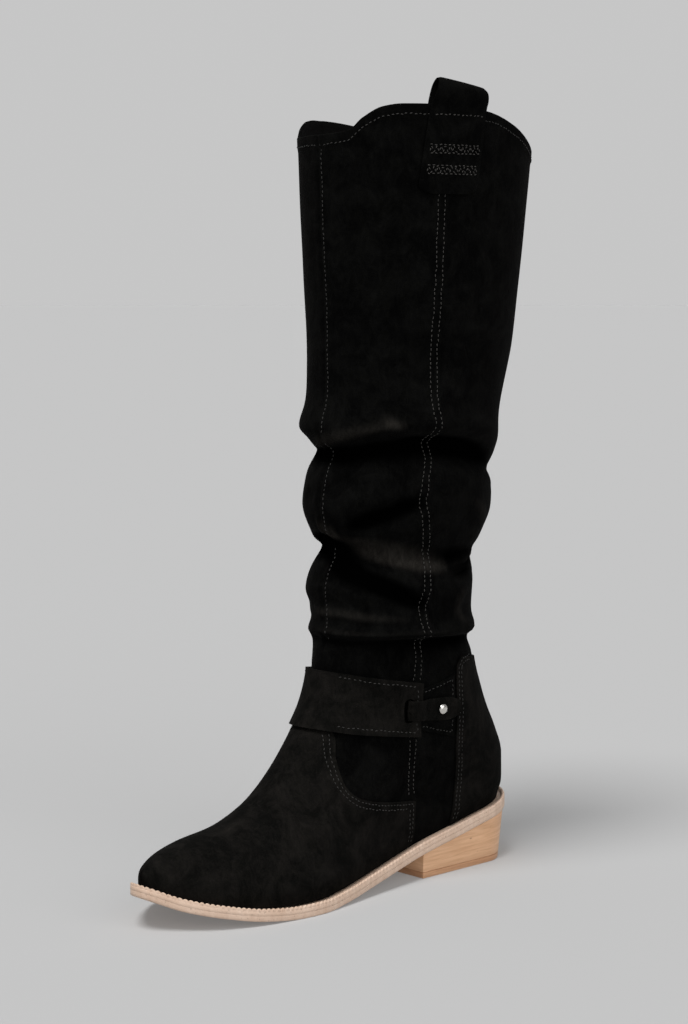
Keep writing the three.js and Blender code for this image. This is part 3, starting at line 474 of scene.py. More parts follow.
def face(key, share, side):
    """A point of the upper's outer face and how far its folds stand out there."""
    key, share, side = np.broadcast_arrays(
        np.asarray(key, float), np.asarray(share, float), np.asarray(side, float))
    at = {name: read(key) for name, read in section_at.items()}
    round_leg = key > HEEL_KEY
    back_s = np.where(round_leg, back_at(at["back_z"]), at["back_s"])
    back_z = np.where(round_leg, at["back_z"], feather(at["back_s"]))
    front_s = np.where(key > HEEL_KEY + 1, front_at(at["front_z"]), at["front_s"])
    s = back_s + (front_s - back_s) * share
    z = back_z + (at["front_z"] - back_z) * share
    height = leg_share(z)
    bend = smooth(*COLLAR_BEND, height) * np.where(side > 0, 1, COLLAR_INNER_SHARE)
    turn = np.arccos(np.clip(1 - 2 * share, -1, 1))
    later = turn + COLLAR_INNER_TURN * smooth(*COLLAR_TURN_RANGE, turn) * (side < 0)
    z = z + LEG_HEIGHT * collar_rise((1 - np.cos(np.minimum(later, math.pi))) / 2) * bend
    above = (z - feather(s)) / INSTEP_HEIGHT
    to_foot = round_end((LAST_LENGTH - s) / TOE_CURVE, TOE_POWER)
    foot = BALL_WIDTH * plan_half(s / LAST_LENGTH) * to_foot
    turned = smooth(*FOOT_TO_LEG_UP, above) * (1 - smooth(*FOOT_TO_LEG_ALONG, s / LAST_LENGTH))
    plain = foot + (CALF_WIDTH * leg_half(height) - foot) * turned
    leg_depth = (front_at(z) - back_at(z)) / 2
    back_curve = HEEL_CURVE + (leg_depth - HEEL_CURVE) * smooth(*HEEL_TO_LEG_BACK, height)
    half = plain * round_end((s - back_at(z)) / back_curve)
    half = half * round_end((1 - share) / at["round"], at["power"])
    tucked = FEATHER_TUCK * (1 - smooth(0, TUCK_RISE, above * INSTEP_HEIGHT)) * (key <= HEEL_KEY + 1)
    from_heel = round_end(s / HEEL_CURVE)
    half = half - tucked * from_heel * to_foot
    s = s + tucked * (to_foot - from_heel)
    x = middle_at(s) * (1 - smooth(*MIDDLE_TO_LEG_UP, above)) + side * half
    push_x = x / np.maximum(plain, 1) ** 2
    push_s = (s - (front_at(z) + back_at(z)) / 2) / leg_depth ** 2
    size = np.maximum(np.hypot(push_x, push_s), 1e-9)
    front = np.clip(2 * share - 1, -1, 1)
    degrees = np.degrees(np.arccos(-front))
    degrees = np.where(side > 0, degrees, 360 - degrees)
    out = fold_out(height, front, side < 0) + crease_out(z, degrees)
    out = np.where(height > FOLDS_FROM, out, 0)
    return world(x + push_x / size * out, s + push_s / size * out, z - FOLD_SAG * out), out


def unit(vectors):
    return vectors / np.maximum(np.linalg.norm(vectors, axis=-1, keepdims=True), 1e-12)


# The mesh's rows and columns: columns crowd at the side seams and at the front seam
SEAM_COLUMNS = np.array([-3.2, -1.9, -1.0, -0.35, 0.35, 1.0, 1.9, 3.2]) / 58
FRONT_COLUMNS = np.array([-3.6, -2.2, -1.2, -0.5, 0]) / 50
BEHIND_COLUMNS = 24
AHEAD_COLUMNS = 34
COLUMN_STEP = 0.02
SEAM_TURNS = (0.5, math.pi - 0.4)
SEAM_HALVINGS = 22


def section_keys():
    counts = np.append(foot_sections["mesh_rows"], leg_sections["mesh_rows"]).astype(int)
    keys = [key + i / count for key, count in enumerate(counts) if count for i in range(count)]
    return np.array(keys + [COLLAR_KEY])


def column_shares(keys, side):
    """Where the columns of one side lie in each row; the seam's place is found by halving."""
    low, high = np.zeros(len(keys)), np.ones(len(keys))
    for _ in range(SEAM_HALVINGS):
        middle = (low + high) / 2
        points = face(keys, middle, side)[0]
        ahead = HEEL_MIDDLE - points[:, 1] > seam_at(points[:, 2])
        high = np.where(ahead, middle, high)
        low = np.where(ahead, low, middle)
    turn = np.clip(np.arccos(1 - 2 * low), *SEAM_TURNS)[:, None]
    behind = (turn + SEAM_COLUMNS[0] - COLUMN_STEP) * np.linspace(0, 1, BEHIND_COLUMNS)
    start = turn + SEAM_COLUMNS[-1] + COLUMN_STEP
    stop = math.pi + FRONT_COLUMNS[0] - COLUMN_STEP
    ahead = start + (stop - start) * np.linspace(0, 1, AHEAD_COLUMNS)
    front = np.broadcast_to(math.pi + FRONT_COLUMNS, (len(keys), len(FRONT_COLUMNS)))
    return (1 - np.cos(np.concatenate((behind, turn + SEAM_COLUMNS, ahead, front), 1))) / 2


keys = section_keys()
outer_shares = column_shares(keys, 1)
shares = np.concatenate((outer_shares, column_shares(keys, -1)[:, -2::-1]), 1)
HALF_COLUMNS = outer_shares.shape[1]
sides = np.where(np.arange(shares.shape[1]) < HALF_COLUMNS, 1.0, -1.0)
face_points, face_out = face(keys[:, None], shares, sides[None])
HEEL_ROW = int(np.argmin(np.abs(keys - HEEL_KEY)))
ROWS, COLUMNS = face_points.shape[:2]


def grid_normals(points):
    """Unit normals of the upper's grid, pointing out, equal where its two edges meet."""
    along = np.gradient(points, axis=0)
    around = np.gradient(points, axis=1)
    across_seam = points[:, 1] - points[:, -2]
    around[HEEL_ROW:, 0] = across_seam[HEEL_ROW:]
    around[HEEL_ROW:, -1] = across_seam[HEEL_ROW:]
    normals = np.cross(around, along)
    if normals[ROWS // 2, HALF_COLUMNS // 2, 0] < 0:
        normals = -normals
    normals[0, :, 0] = 0
    normals[0] = normals[0] + normals[0, ::-1]
    both = normals[HEEL_ROW:, 0] + normals[HEEL_ROW:, -1]
    both[:, 0] = 0
    normals[HEEL_ROW:, 0] = both
    normals[HEEL_ROW:, -1] = both
    return unit(normals)


face_normals = grid_normals(face_points)


def seam_detail():
    """Low relief of the side seams, the front seam and the collar's turned hem."""
    s = HEEL_MIDDLE - face_points[..., 1]
    z = face_points[..., 2]
    ahead = s - seam_at(z)
    raised = SEAM_STEP * np.exp(-ahead / SEAM_REACH)
    dipped = -SEAM_DIP * np.exp(ahead / SEAM_DIP_REACH)
    step = np.where(ahead > 0, raised, dipped) * (np.abs(ahead) < SEAM_HALF)
    relief = step * smooth(SEAM_FROM, SEAM_FROM + SEAM_SETS_IN, z)
    beside = np.where(s > FRONT_HALF_FROM, np.abs(face_points[..., 0]), FAR_OUT)
    groove = -FRONT_GROOVE * np.exp(-(beside / FRONT_GROOVE_HALF) ** 2)
    bank = FRONT_BANK * np.exp(-((beside - FRONT_BANK_PLACE) / FRONT_BANK_HALF) ** 2)
    sets_in = smooth(FRONT_SEAM_FROM, FRONT_SEAM_FROM + FRONT_SETS_IN, z)
    relief = relief + (groove + bank) * sets_in
    depth = np.linalg.norm(face_points[-1][None] - face_points, axis=-1)
    return relief + HEM_STEP * smooth(HEM_DEPTH + 0.8, HEM_DEPTH - 0.2, depth)


def quads(rows, count, start=0, flip=False):
    i, j = np.meshgrid(np.arange(rows - 1), np.arange(count - 1), indexing="ij")
    a = start + i * count + j
    corners = (a, a + 1, a + count + 1, a + count)
    return np.stack(corners[::-1] if flip else corners, -1).reshape(-1, 4).tolist()


# Points nearer to each other than this are joined, in metres
WELD_DISTANCE = 5e-8


def tube_faces(rings, count, start=0):
    """Faces between closed rings of points that stand one after the other."""
    faces = []
    for i in range(rings - 1):
        for k in range(count):
            p, q = start + i * count + k, start + i * count + (k + 1) % count
            faces.append([p, q, q + count, p + count])
    return faces


def weld_mesh(mesh):
    """Joins points that lie on each other and turns all faces outwards."""
    work = bmesh.new()
    work.from_mesh(mesh)
    bmesh.ops.remove_doubles(work, verts=work.verts, dist=WELD_DISTANCE)
    bmesh.ops.recalc_face_normals(work, faces=work.faces)
    work.to_mesh(mesh)
    work.free()


def piece(name, points, faces, *materials, weld=True):
    """A mesh piece from points in millimetres, welded, with its faces pointing out."""
    mesh = bpy.data.meshes.new(name)
    mesh.from_pydata((np.asarray(points).reshape(-1, 3) * MM).tolist(), [], faces)
    made = bpy.data.objects.new(name, mesh)
    bpy.context.scene.collection.objects.link(made)
    for material in materials:
        mesh.materials.append(material)
    if weld:
        weld_mesh(mesh)
    return made


def shade(made, degrees=38):
    made.data.shade_smooth()
    made.data.set_sharp_from_angle(angle=math.radians(degrees))
    return made


def dress(made, slot, *nodes):
    """The piece rides on the boot and stands for its nodes; the slot is not used."""
    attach(made, "root")
    if nodes:
        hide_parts(*nodes)
    return made


def keep_levels(points):
    """Points of the upper raised off the welt by the gap."""
    return points + np.array([0, 0, GAP])


def join_rims(faces, loop_a, loop_b):
    for i in range(len(loop_a)):
        j = (i + 1) % len(loop_a)
        faces.append([loop_a[i], loop_a[j], loop_b[j], loop_b[i]])


def feather_loop():
    outer = [i * COLUMNS for i in range(HEEL_ROW + 1)]
    inner = [i * COLUMNS + COLUMNS - 1 for i in range(HEEL_ROW - 1, 0, -1)]
    return outer + inner


RIM_STEPS = 6


def make_upper(suede, lining):
    """One hollow shell: suede outside, lining inside, a rounded edge at the collar."""
    outside = face_points + face_normals * seam_detail()[..., None]
    inside = outside - face_normals * WALL
    inside[:HEEL_ROW + 1, (0, -1), 2] = np.maximum(
        inside[:HEEL_ROW + 1, (0, -1), 2], outside[:HEEL_ROW + 1, (0, -1), 2])
    faces = quads(ROWS, COLUMNS)
    suede_faces = len(faces)
    count = ROWS * COLUMNS
    faces += quads(ROWS, COLUMNS, count, flip=True)
    lined_faces = len(faces)
    loop = feather_loop()
    join_rims(faces, loop, [i + count for i in loop])
    middle = (outside[-1] + inside[-1]) / 2
    climb = unit(outside[-1] - outside[-2])
    rim = []
    for k in range(1, RIM_STEPS):
        turn = math.pi * k / RIM_STEPS
        outwards = (outside[-1] - middle) * math.cos(turn)
        rim.append(middle + outwards + climb * (WALL / 2) * math.sin(turn))
    rim_rings = [2 * count + k * COLUMNS for k in range(RIM_STEPS - 1)]
    rings = [count - COLUMNS, *rim_rings, 2 * count - COLUMNS]
    for low, high in zip(rings, rings[1:]):
        faces += [[low + j, low + j + 1, high + j + 1, high + j] for j in range(COLUMNS - 1)]
    points = np.concatenate([keep_levels(p).reshape(-1, 3) for p in (outside, inside, np.array(rim))])
    made = piece("upper_leather", points, faces, suede, lining, weld=False)
    mesh = made.data
    slots = np.zeros(len(faces), np.int32)
    slots[suede_faces:lined_faces] = 1
    mesh.polygons.foreach_set("material_index", slots)
    degrees = np.degrees(np.arccos(1 - 2 * shares))
    # Lighter crests, partly worn nap and partly painted highlight; painted shade in fold and crease
    # hollows
    crest = crease_out(face_points[..., 2], np.where(sides > 0, degrees, 360 - degrees))
    rubbed_and_lit = RUB_AND_HIGHLIGHT_SHARE * smooth(*RUBBED_AND_LIT_CREASE, crest)
    dark = np.maximum(smooth(*PAINTED_SHADE_FOLD, face_out), smooth(*PAINTED_SHADE_CREASE, crest))
    for name, share in (("rub_and_highlight", rubbed_and_lit), ("hollow", dark)):
        values = np.zeros(len(points))
        values[:count] = share.ravel()
        mesh.attributes.new(name, "FLOAT", "POINT").data.foreach_set("value", values)
    weld_mesh(mesh)
    return dress(shade(made, 60), "upper_suede", "upper")


# The overlays end below the leg's third section
FORM_ROWS = int(np.argmin(np.abs(keys - HEEL_KEY - 3))) + 1
OVER_WELT = 3 * GAP


def grown_form(distance):
    """The foot's and ankle's outer form grown outwards and closed: it cuts the overlays."""
    points = keep_levels(face_points + face_normals * distance)[:FORM_ROWS]
    faces = quads(FORM_ROWS, COLUMNS)
    for i in range(HEEL_ROW):
        a, b = i * COLUMNS, (i + 1) * COLUMNS
        faces.append([a, a + COLUMNS - 1, b + COLUMNS - 1, b])
    centre = points[-1].mean(0)
    top = (FORM_ROWS - 1) * COLUMNS
    faces += [[top + j, top + j + 1, FORM_ROWS * COLUMNS] for j in range(COLUMNS - 1)]
    return piece("form", np.vstack((points.reshape(-1, 3), centre)), faces)


def side_prism(outline, x_from, x_to):
    """A prism across the boot from its outline of (s, z) points in the side view."""
    outline = np.asarray(outline, float)
    n = len(outline)
    points = np.concatenate([world(x, outline[:, 0], outline[:, 1]) for x in (x_from, x_to)])
    faces = [list(range(n)), list(range(2 * n - 1, n - 1, -1))]
    faces += [[i, (i + 1) % n, n + (i + 1) % n, n + i] for i in range(n)]
    return piece("prism", points, faces)


def carve(made, *steps):
    """The piece after boolean steps of (operation, tool); the tools are deleted."""
    for operation, tool in steps:
        modifier = made.modifiers.new("cut", "BOOLEAN")
        modifier.operation = operation
        modifier.object = tool
        modifier.solver = "MANIFOLD"
    bpy.context.view_layer.update()
    mesh = bpy.data.meshes.new_from_object(made.evaluated_get(bpy.context.evaluated_depsgraph_get()))
    made.modifiers.clear()
    made.data = mesh
    for _, tool in steps:
        bpy.data.objects.remove(tool)
    return made


def overlay(name, low, high, outline, x_from, x_to, material, slot, *more_cuts):
    """A panel between two grown forms, inside its side view outline."""
    made = carve(
        grown_form(high),
        ("DIFFERENCE", grown_form(low)),
        ("INTERSECT", side_prism(outline, x_from, x_to)),
        *more_cuts)
    made.name = name
    made.data.materials.clear()
    made.data.materials.append(material)
    return dress(shade(made), slot, name.replace("_suede", ""))


def side_line(table):
    """The (s, z) points of a side view table."""
    return np.stack((LAST_LENGTH * table["along"], up(table["up"])), -1)


def smooth_line(points, per_span=8):
    """A rounded line through given points."""
    points = np.asarray(points, float)
    padded = np.vstack((2 * points[0] - points[1], points, 2 * points[-1] - points[-2]))
    line = []
    for a, b, c, d in zip(padded, padded[1:], padded[2:], padded[3:]):
        for t in np.linspace(0, 1, per_span, endpoint=False):
            line.append(0.5 * (2 * b + (c - a) * t + (2 * a - 5 * b + 4 * c - d) * t * t
                               + (3 * b - a - 3 * c + d) * t ** 3))
    return np.array(line + [points[-1]])


def over_welt(line):
    return line[line[:, 1] > feather(line[:, 0]) + OVER_WELT]


def feather_line(start, end):
    s = np.linspace(start, end, 60)
    return np.stack((s, feather(s) + OVER_WELT), -1)


def make_vamp(material):
    edge = over_welt(smooth_line(side_line(vamp_edge)))
    front = LAST_LENGTH + FAR_OUT
    top = (LAST_LENGTH * VAMP_TOP[0], up(VAMP_TOP[1]))
    outline = [*edge, top, (front, top[1]), (front, feather(LAST_LENGTH) + OVER_WELT),
               *feather_line(LAST_LENGTH, edge[0, 0] + 0.5)]
    return overlay("vamp_suede", OVERLAY_LOW, OVERLAY_HIGH, outline, -FAR_OUT, FAR_OUT, material,
                   "panel_suede")


def make_counter(material):
    edge = over_welt(smooth_line(side_line(counter_edge)))
    outline = [*edge, (-FAR_OUT, edge[-1, 1]), (-FAR_OUT, feather(0) + OVER_WELT),
               *feather_line(0, edge[0, 0] - 0.5)]
    return overlay("counter_suede", OVERLAY_LOW, OVERLAY_HIGH, outline, -FAR_OUT, FAR_OUT, material,
                   "panel_suede")


def strap_line(column, shift=0.0):
    """The strap's low or high edge, moved up by a distance."""
    z = up(strap_edges[column]) + shift
    return smooth_line(np.stack((LAST_LENGTH * strap_edges["along"], z), -1))


def make_strap(material):
    outline = [*strap_line("low"), *strap_line("high")[::-1]]
    s, z = LAST_LENGTH * SLOT_PLACE[0], up(SLOT_PLACE[1])
    half = SLOT_WIDTH / 2
    turn = np.linspace(0, 2 * math.pi, 24, endpoint=False)
    end = z + np.where(turn < math.pi, 1, -1) * (SLOT_LENGTH / 2 - half)
    slot = np.stack((s + half * np.cos(turn), end + half * np.sin(turn)), -1)
    return overlay("ankle_strap_suede", STRAP_LOW, STRAP_HIGH, outline, -FAR_OUT, FAR_OUT, material,
                   "panel_suede", ("DIFFERENCE", side_prism(slot, 0, FAR_OUT)))


def make_anchor(material):
    return overlay("strap_anchor_suede", OVERLAY_LOW, OVERLAY_HIGH, side_line(anchor_edge), 0, FAR_OUT,
                   material, "upper_suede")


# Places on the face: a coarse grid to start from, then steps that close the rest of the way
SMALL = 1e-3
FACE_STEPS = 8
LONGEST_STEP = 5
sample_keys = keys[HEEL_ROW // 3::2]
sample_shares = (1 - np.cos(np.linspace(0.05, math.pi - 0.05, 70))) / 2
samples = {}


def on_face(s, z, side=1):
    """Points of the face at places in the side view, with their normals."""
    if side not in samples:
        points = face(sample_keys[:, None], sample_shares[None], side)[0]
        samples[side] = points[..., 1:].reshape(-1, 2)
    s, z = np.broadcast_arrays(np.asarray(s, float), np.asarray(z, float))
    shape = s.shape
    wanted = np.stack((HEEL_MIDDLE - s, z), -1).reshape(-1, 2)
    nearest = np.array([np.argmin(((samples[side] - w) ** 2).sum(1)) for w in wanted])
    key = sample_keys[nearest // len(sample_shares)]
    share = sample_shares[nearest % len(sample_shares)]
    for _ in range(FACE_STEPS):
        here = face(key, share, side)[0]
        miss = wanted - here[:, 1:]
        by_key = (face(key + SMALL, share, side)[0] - here)[:, 1:] / SMALL
        by_share = (face(key, share + SMALL, side)[0] - here)[:, 1:] / SMALL
        area = by_key[:, 0] * by_share[:, 1] - by_key[:, 1] * by_share[:, 0]
        area = np.where(np.abs(area) < 1e-6, 1e-6, area)
        pace = np.minimum(1, LONGEST_STEP / np.maximum(np.linalg.norm(miss, axis=1), 1e-9))
        key = key + pace * (miss[:, 0] * by_share[:, 1] - miss[:, 1] * by_share[:, 0]) / area
        share = share + pace * (by_key[:, 0] * miss[:, 1] - by_key[:, 1] * miss[:, 0]) / area
        key = np.clip(key, 0, COLLAR_KEY - 2 * SMALL)
        share = np.clip(share, 0.01, 0.99)
    point, normal = face_frame(key, share, side)
    return point.reshape(*shape, 3), normal.reshape(*shape, 3)


def face_frame(key, share, side):
    """Points of the face at rows and shares of it, with their normals."""
    point = face(key, share, side)[0]
    next_key = np.minimum(key + SMALL, COLLAR_KEY)
    by_key = face(next_key, share, side)[0] - face(key - SMALL, share, side)[0]
    by_share = face(key, share + SMALL, side)[0] - face(key, share - SMALL, side)[0]
    normal = unit(np.cross(by_key, by_share))
    normal = normal * np.where(normal[..., :1] * side < 0, -1, 1)
    return keep_levels(point), normal


# Thread: rows of stitches, each a short rounded bar
stitch_profile = [
    # place along the stitch, share of the thread's radius
    (-0.5, 0.12), (-0.44, 0.62), (-0.28, 0.95), (0.28, 0.95), (0.44, 0.62), (0.5, 0.12)]
STITCH_FLATNESS = 0.8
DIRECTION_REACH = 0.4


def stitch_places(points, normals):
    """Centres, directions and normals of stitches along a line on the leather."""
    steps = np.linalg.norm(np.diff(points, axis=0), axis=1)
    run = np.append(0, np.cumsum(steps))
    count = max(int(run[-1] / STITCH_PITCH), 1)
    at = (np.arange(count) + 0.5) * run[-1] / count

    def read(values, place):
        return np.stack([np.interp(place, run, values[:, k]) for k in range(3)], -1)

    along = unit(read(points, at + DIRECTION_REACH) - read(points, at - DIRECTION_REACH))
    return read(points, at), along, unit(read(normals, at))


def stitches(name, lines, material, slot):
    """All the stitches of some lines of (points, normals, lift) as one mesh."""
    vertices, faces = [], []
    ring = THREAD_SIDES
    chance = np.random.default_rng(len(lines))
    for points, normals, lift in lines:
        centre, along, normal = stitch_places(points, normals)
        across = np.cross(along, normal)
        slip = chance.normal(0, HAND_SLIP, (4, len(centre), 1))
        centre = centre + normal * (lift - 0.5 * np.abs(slip[0])) + along * slip[1] + across * slip[2]
        along = unit(along + across * slip[3])
        across = np.cross(along, normal)
        for c, a, n, b in zip(centre, along, normal, across):
            start = len(vertices)
            for place, width in stitch_profile:
                for k in range(ring):
                    turn = 2 * math.pi * k / ring
                    spoke = n * math.sin(turn) * STITCH_FLATNESS + b * math.cos(turn)
                    vertices.append(c + a * place * STITCH_LENGTH + spoke * width * THREAD_RADIUS)
            faces += tube_faces(len(stitch_profile), ring, start)
            last = start + (len(stitch_profile) - 1) * ring
            faces.append([start + k for k in range(ring)][::-1])
            faces.append([last + k for k in range(ring)])
    made = piece(name, np.array(vertices), faces, material, weld=False)
    return dress(shade(made, 70), slot)


def on_line(line, side, lift):
    points, normals = on_face(line[:, 0], line[:, 1], side)
    return points, normals, lift


def inset(line, distance):
    """A side view line moved to its left."""
    along = np.gradient(line, axis=0)
    along /= np.linalg.norm(along, axis=1, keepdims=True)
    return line + distance * np.stack((-along[:, 1], along[:, 0]), -1)


def leg_stitch_lines():
    """Rows down the side seams; then the rows of the collar and of the front seam."""
    side_lines, lines = [], []
    for side in (1, -1):
        share = (1 - np.cos(np.linspace(0.06, math.pi - 0.02, 120))) / 2
        points, normals = face_frame(np.full(120, COLLAR_KEY - 0.2), share, side)
        lines.append((points, normals, COLLAR_LIFT))
        for ahead in SIDE_ROWS:
            z = np.linspace(SEAM_FROM + 5, SIDE_ROWS_TOP[side], 200)
            side_lines.append(on_line(np.stack((seam_at(z) + ahead, z), -1), side, SEAM_STEP))
        if side > 0:
            key = np.linspace(HEEL_KEY + 3.2, COLLAR_KEY - 0.25, 260)
            wide = CALF_WIDTH * leg_half(leg_share(face(key, 0.99, side)[0][:, 2]))
            points, normals = face_frame(key, 1 - (FRONT_ROW / wide) ** 2 / 4, side)
            lines.append((points, normals, FRONT_LIFT))
    return side_lines, lines


def panel_stitch_lines(table, distances, cut):
    """Rows along a panel's edge on both sides, where they lie over the welt and inside the cut.
    Points that an inner corner brings too near to the edge are left out."""
    lift = OVERLAY_HIGH + PANEL_LIFT
    lines = []
    edge = smooth_line(side_line(table))
    for side in (1, -1):
        for distance in distances:
            line = inset(edge, distance)
            to_edge = np.linalg.norm(line[:, None] - edge, axis=-1).min(1)
            over = line[:, 1] > feather(line[:, 0]) + WELT_ROOM
            apart = to_edge > NEAREST_SHARE * abs(distance)
            lines.append(on_line(line[over & apart & cut(line)], side, lift))
    return lines


def strap_stitch_lines():
    """Rows along the strap's edges and ends, and the ring of stitches on the anchor."""
    lift = STRAP_HIGH + PANEL_LIFT
    lines = []
    start = LAST_LENGTH * strap_edges["along"][0]
    for side in (1, -1):
        for column, shift in (("low", STRAP_ROW), ("high", -STRAP_ROW)):
            line = strap_line(column, shift)
            inside = line[:, 0] < front_at(line[:, 1]) - STRAP_ROW_ENDS
            line = line[(line[:, 0] > start + STRAP_ROW_ENDS / 2) & inside]
            lines.append(on_line(line, side, lift))
        low, high = up(strap_edges["low"][0]), up(strap_edges["high"][0])
        z = np.linspace(low + STRAP_ROW_ENDS, high - STRAP_ROW_ENDS, 20)
        lines.append(on_line(np.stack((np.full(20, start + STRAP_ROW), z), -1), side, lift))
    anchor = side_line(anchor_edge)
    middle = anchor.mean(0)
    ring = middle + (np.vstack((anchor, anchor[:1])) - middle) * ANCHOR_ROW_SHARE
    steps = np.linspace(0, 1, 12)[:, None]
    dense = np.concatenate([a + (b - a) * steps for a, b in zip(ring, ring[1:])])
    lines.append(on_line(dense, 1, OVERLAY_HIGH + PANEL_LIFT))
    return lines


# A strip's edge: how late it thins, and the share of its thickness that is left there
EDGE_POWER = 14
EDGE_SHARE = 0.15


def slab(name, middle, thick, material, slot, node):
    """A closed strip from a grid of middle points and a grid of half-thickness vectors."""
    rows, count = middle.shape[:2]
    edge = np.linspace(-1, 1, count)
    thinned = np.sqrt(np.clip(1 - np.abs(edge) ** EDGE_POWER, 0, 1))[None, :, None]
    half = thick * (thinned * (1 - EDGE_SHARE) + EDGE_SHARE)
    points = np.concatenate(((middle + half).reshape(-1, 3), (middle - half).reshape(-1, 3)))
    size = rows * count
    faces = quads(rows, count) + quads(rows, count, size, flip=True)
    border = list(range(count)) + [i * count + count - 1 for i in range(1, rows)]
    border += [size - 1 - j for j in range(1, count)] + [i * count for i in range(rows - 2, 0, -1)]
    join_rims(faces, border, [i + size for i in border])
    return dress(shade(piece(name, points, faces, material), 50), slot, node)


def resampled(table, per_span):
    """A table of given rows, smoothly filled in between."""
    rows = smooth_line(np.stack(list(table.values()), -1), per_span)
    return dict(zip(table, rows.T))


def make_strap_tab(material):
    fine = resampled(tab, 5)
    across = np.linspace(-1, 1, 13)
    s = LAST_LENGTH * fine["along"][:, None] + 0 * across
    z = up(fine["up"])[:, None] + INSTEP_HEIGHT * fine["half"][:, None] * across
    points, normals = on_face(s, z)
    low = STRAP_LOW + GAP / 2 + (STRAP_HIGH + GAP - STRAP_LOW) * fine["over"]
    middle = points + normals * (low + TAB / 2)[:, None, None]
    return slab("strap_tab_suede", middle, normals * TAB / 2, material, "panel_suede", "strap_tab")


def make_stud(material):
    point, normal = on_face(LAST_LENGTH * STUD_PLACE[0], up(STUD_PLACE[1]))
    across = unit(np.cross(normal, (0, 0, 1)))
    above = np.cross(normal, across)
    foot = STRAP_LOW + TAB + 1.5 * GAP
    profile = [
        # share of the radius, share of the height
        (0, 0), (0.8, 0), (0.96, 0.14), (1, 0.3), (0.97, 0.45), (0.88, 0.65), (0.7, 0.83), (0.45, 0.95),
        (0.2, 0.99), (0, 1)]
    ring = 32
    points = []
    for out, high in profile:
        for k in range(ring):
            turn = 2 * math.pi * k / ring
            spoke = across * math.cos(turn) + above * math.sin(turn)
            points.append(point + normal * (foot + STUD_HEIGHT * high) + spoke * out * STUD_RADIUS)
    made = piece("strap_stud_steel", np.array(points), tube_faces(len(profile), ring), material)
    return dress(shade(made, 60), "stud_steel", "strap_stud")


COLLAR_TOP = float(face(COLLAR_KEY, 0.5, 1)[0][2])


def leg_wall(s, z):
    """The leg's outer face, carried straight on from near the collar."""
    straight_from = COLLAR_TOP - PULL_LENGTH / 4
    base, normal = on_face(s, np.minimum(z, straight_from))
    level = unit(normal * np.array([1, 1, 0]))
    lower = on_face(s, np.full_like(s, straight_from - PULL_LENGTH / 3))[0]
    climb = base - lower
    beyond = np.maximum(z - straight_from, 0)[..., None]
    return base + climb * beyond / climb[..., 2:].clip(1e-3), level


def pull_strip(across):
    """Middle points, half-thickness vectors and run of the pull tab's strip."""
    fine = resampled(pull_loop, 6)
    outer_middle = PULL_OUTSIDE + PULL_TAB / 2
    inner_middle = -WALL - PULL_INSIDE - PULL_TAB / 2
    out = inner_middle + (outer_middle - inner_middle) * fine["outer"] + PULL_RISE * fine["swell"]
    z = COLLAR_TOP + PULL_LENGTH * fine["leg"] + PULL_RISE * fine["high"]
    run = unit(np.stack((np.gradient(out), np.gradient(z)), -1))
    width = PULL_WIDTH + (PULL_LOOP_WIDTH - PULL_WIDTH) * np.clip(fine["high"], 0, 1)
    length = np.append(0, np.cumsum(np.hypot(np.diff(out), np.diff(z))))
    end = np.minimum(length, length[-1] - length)
    miss = np.clip(PULL_CORNER - end, 0, PULL_CORNER)
    width = width - 2 * (PULL_CORNER - np.sqrt(PULL_CORNER ** 2 - miss ** 2))
    lean = PULL_LEAN * (z - COLLAR_TOP + PULL_LENGTH / 2)
    s = LAST_LENGTH * PULL_ALONG + lean[:, None] + across * width[:, None] / 2
    level_z = z[:, None] + PULL_TILT / 2 * fine["high"][:, None] * across
    base, level = leg_wall(s, level_z)
    base[..., 2] = level_z
    thick = level * run[:, 1, None, None] + np.array([0, 0, 1]) * -run[:, 0, None, None]
    return base + level * out[:, None, None], thick, fine


def make_pull_tab(material):
    middle, thick, _ = pull_strip(np.linspace(-1, 1, 19))
    return slab("pull_tab_suede", middle, thick * PULL_TAB / 2, material, "panel_suede", "pull_tab")


def pull_tab_stitch_lines():
    """Two zigzag rows, each between two plain rows, and one more plain row across the tab."""
    middle, thick, fine = pull_strip(np.linspace(-0.86, 0.86, 25))
    leg_part = np.flatnonzero((fine["outer"] > 0.99) & (fine["high"] <= 0.13))
    levels = fine["leg"][leg_part]
    lift = PULL_TAB / 2 + PULL_LIFT
    lines = []
    for level, height in pull_rows:
        row = leg_part[np.argmin(np.abs(levels - level))]
        zigzag = height * np.where(np.arange(25) % 2, 1, -1)
        points = middle[row] + np.array([0, 0, 1]) * zigzag[:, None]
        lines.append((points, thick[row], lift))
        if height:
            for border in (-ZIGZAG_BORDER, ZIGZAG_BORDER):
                lines.append((middle[row] + np.array([0, 0, border]), thick[row], lift))
    return lines


def sole_ring(count):
    """Angles round the sole that give even steps along its edge."""
    turn = np.linspace(0, 2 * math.pi, 4001)
    s = LAST_LENGTH / 2 - (LAST_LENGTH / 2 + SOLE_LEDGE) * np.cos(turn)
    x = middle_at(s) + np.where(np.sin(turn) >= 0, 1, -1) * outline_half(s, SOLE_LEDGE)
    run = np.append(0, np.cumsum(np.hypot(np.diff(s), np.diff(x))))
    return np.interp(np.arange(count) * run[-1] / count, run, turn)


def ring_points(turn, grow, level):
    s = LAST_LENGTH / 2 - (LAST_LENGTH / 2 + grow) * np.cos(turn)
    side = np.where(np.sin(turn) >= 0, 1, -1)
    return world(middle_at(s) + side * outline_half(s, grow), s, underside(s) + level)


def ring_faces(count, size):
    faces = []
    for i in range(count):
        for j in range(size):
            a, b = i * size + j, i * size + (j + 1) % size
            c, d = (i + 1) % count * size + (j + 1) % size, (i + 1) % count * size + j
            faces.append([a, b, c, d])
    return faces


BEADS = 212
BEAD_STEPS = 6


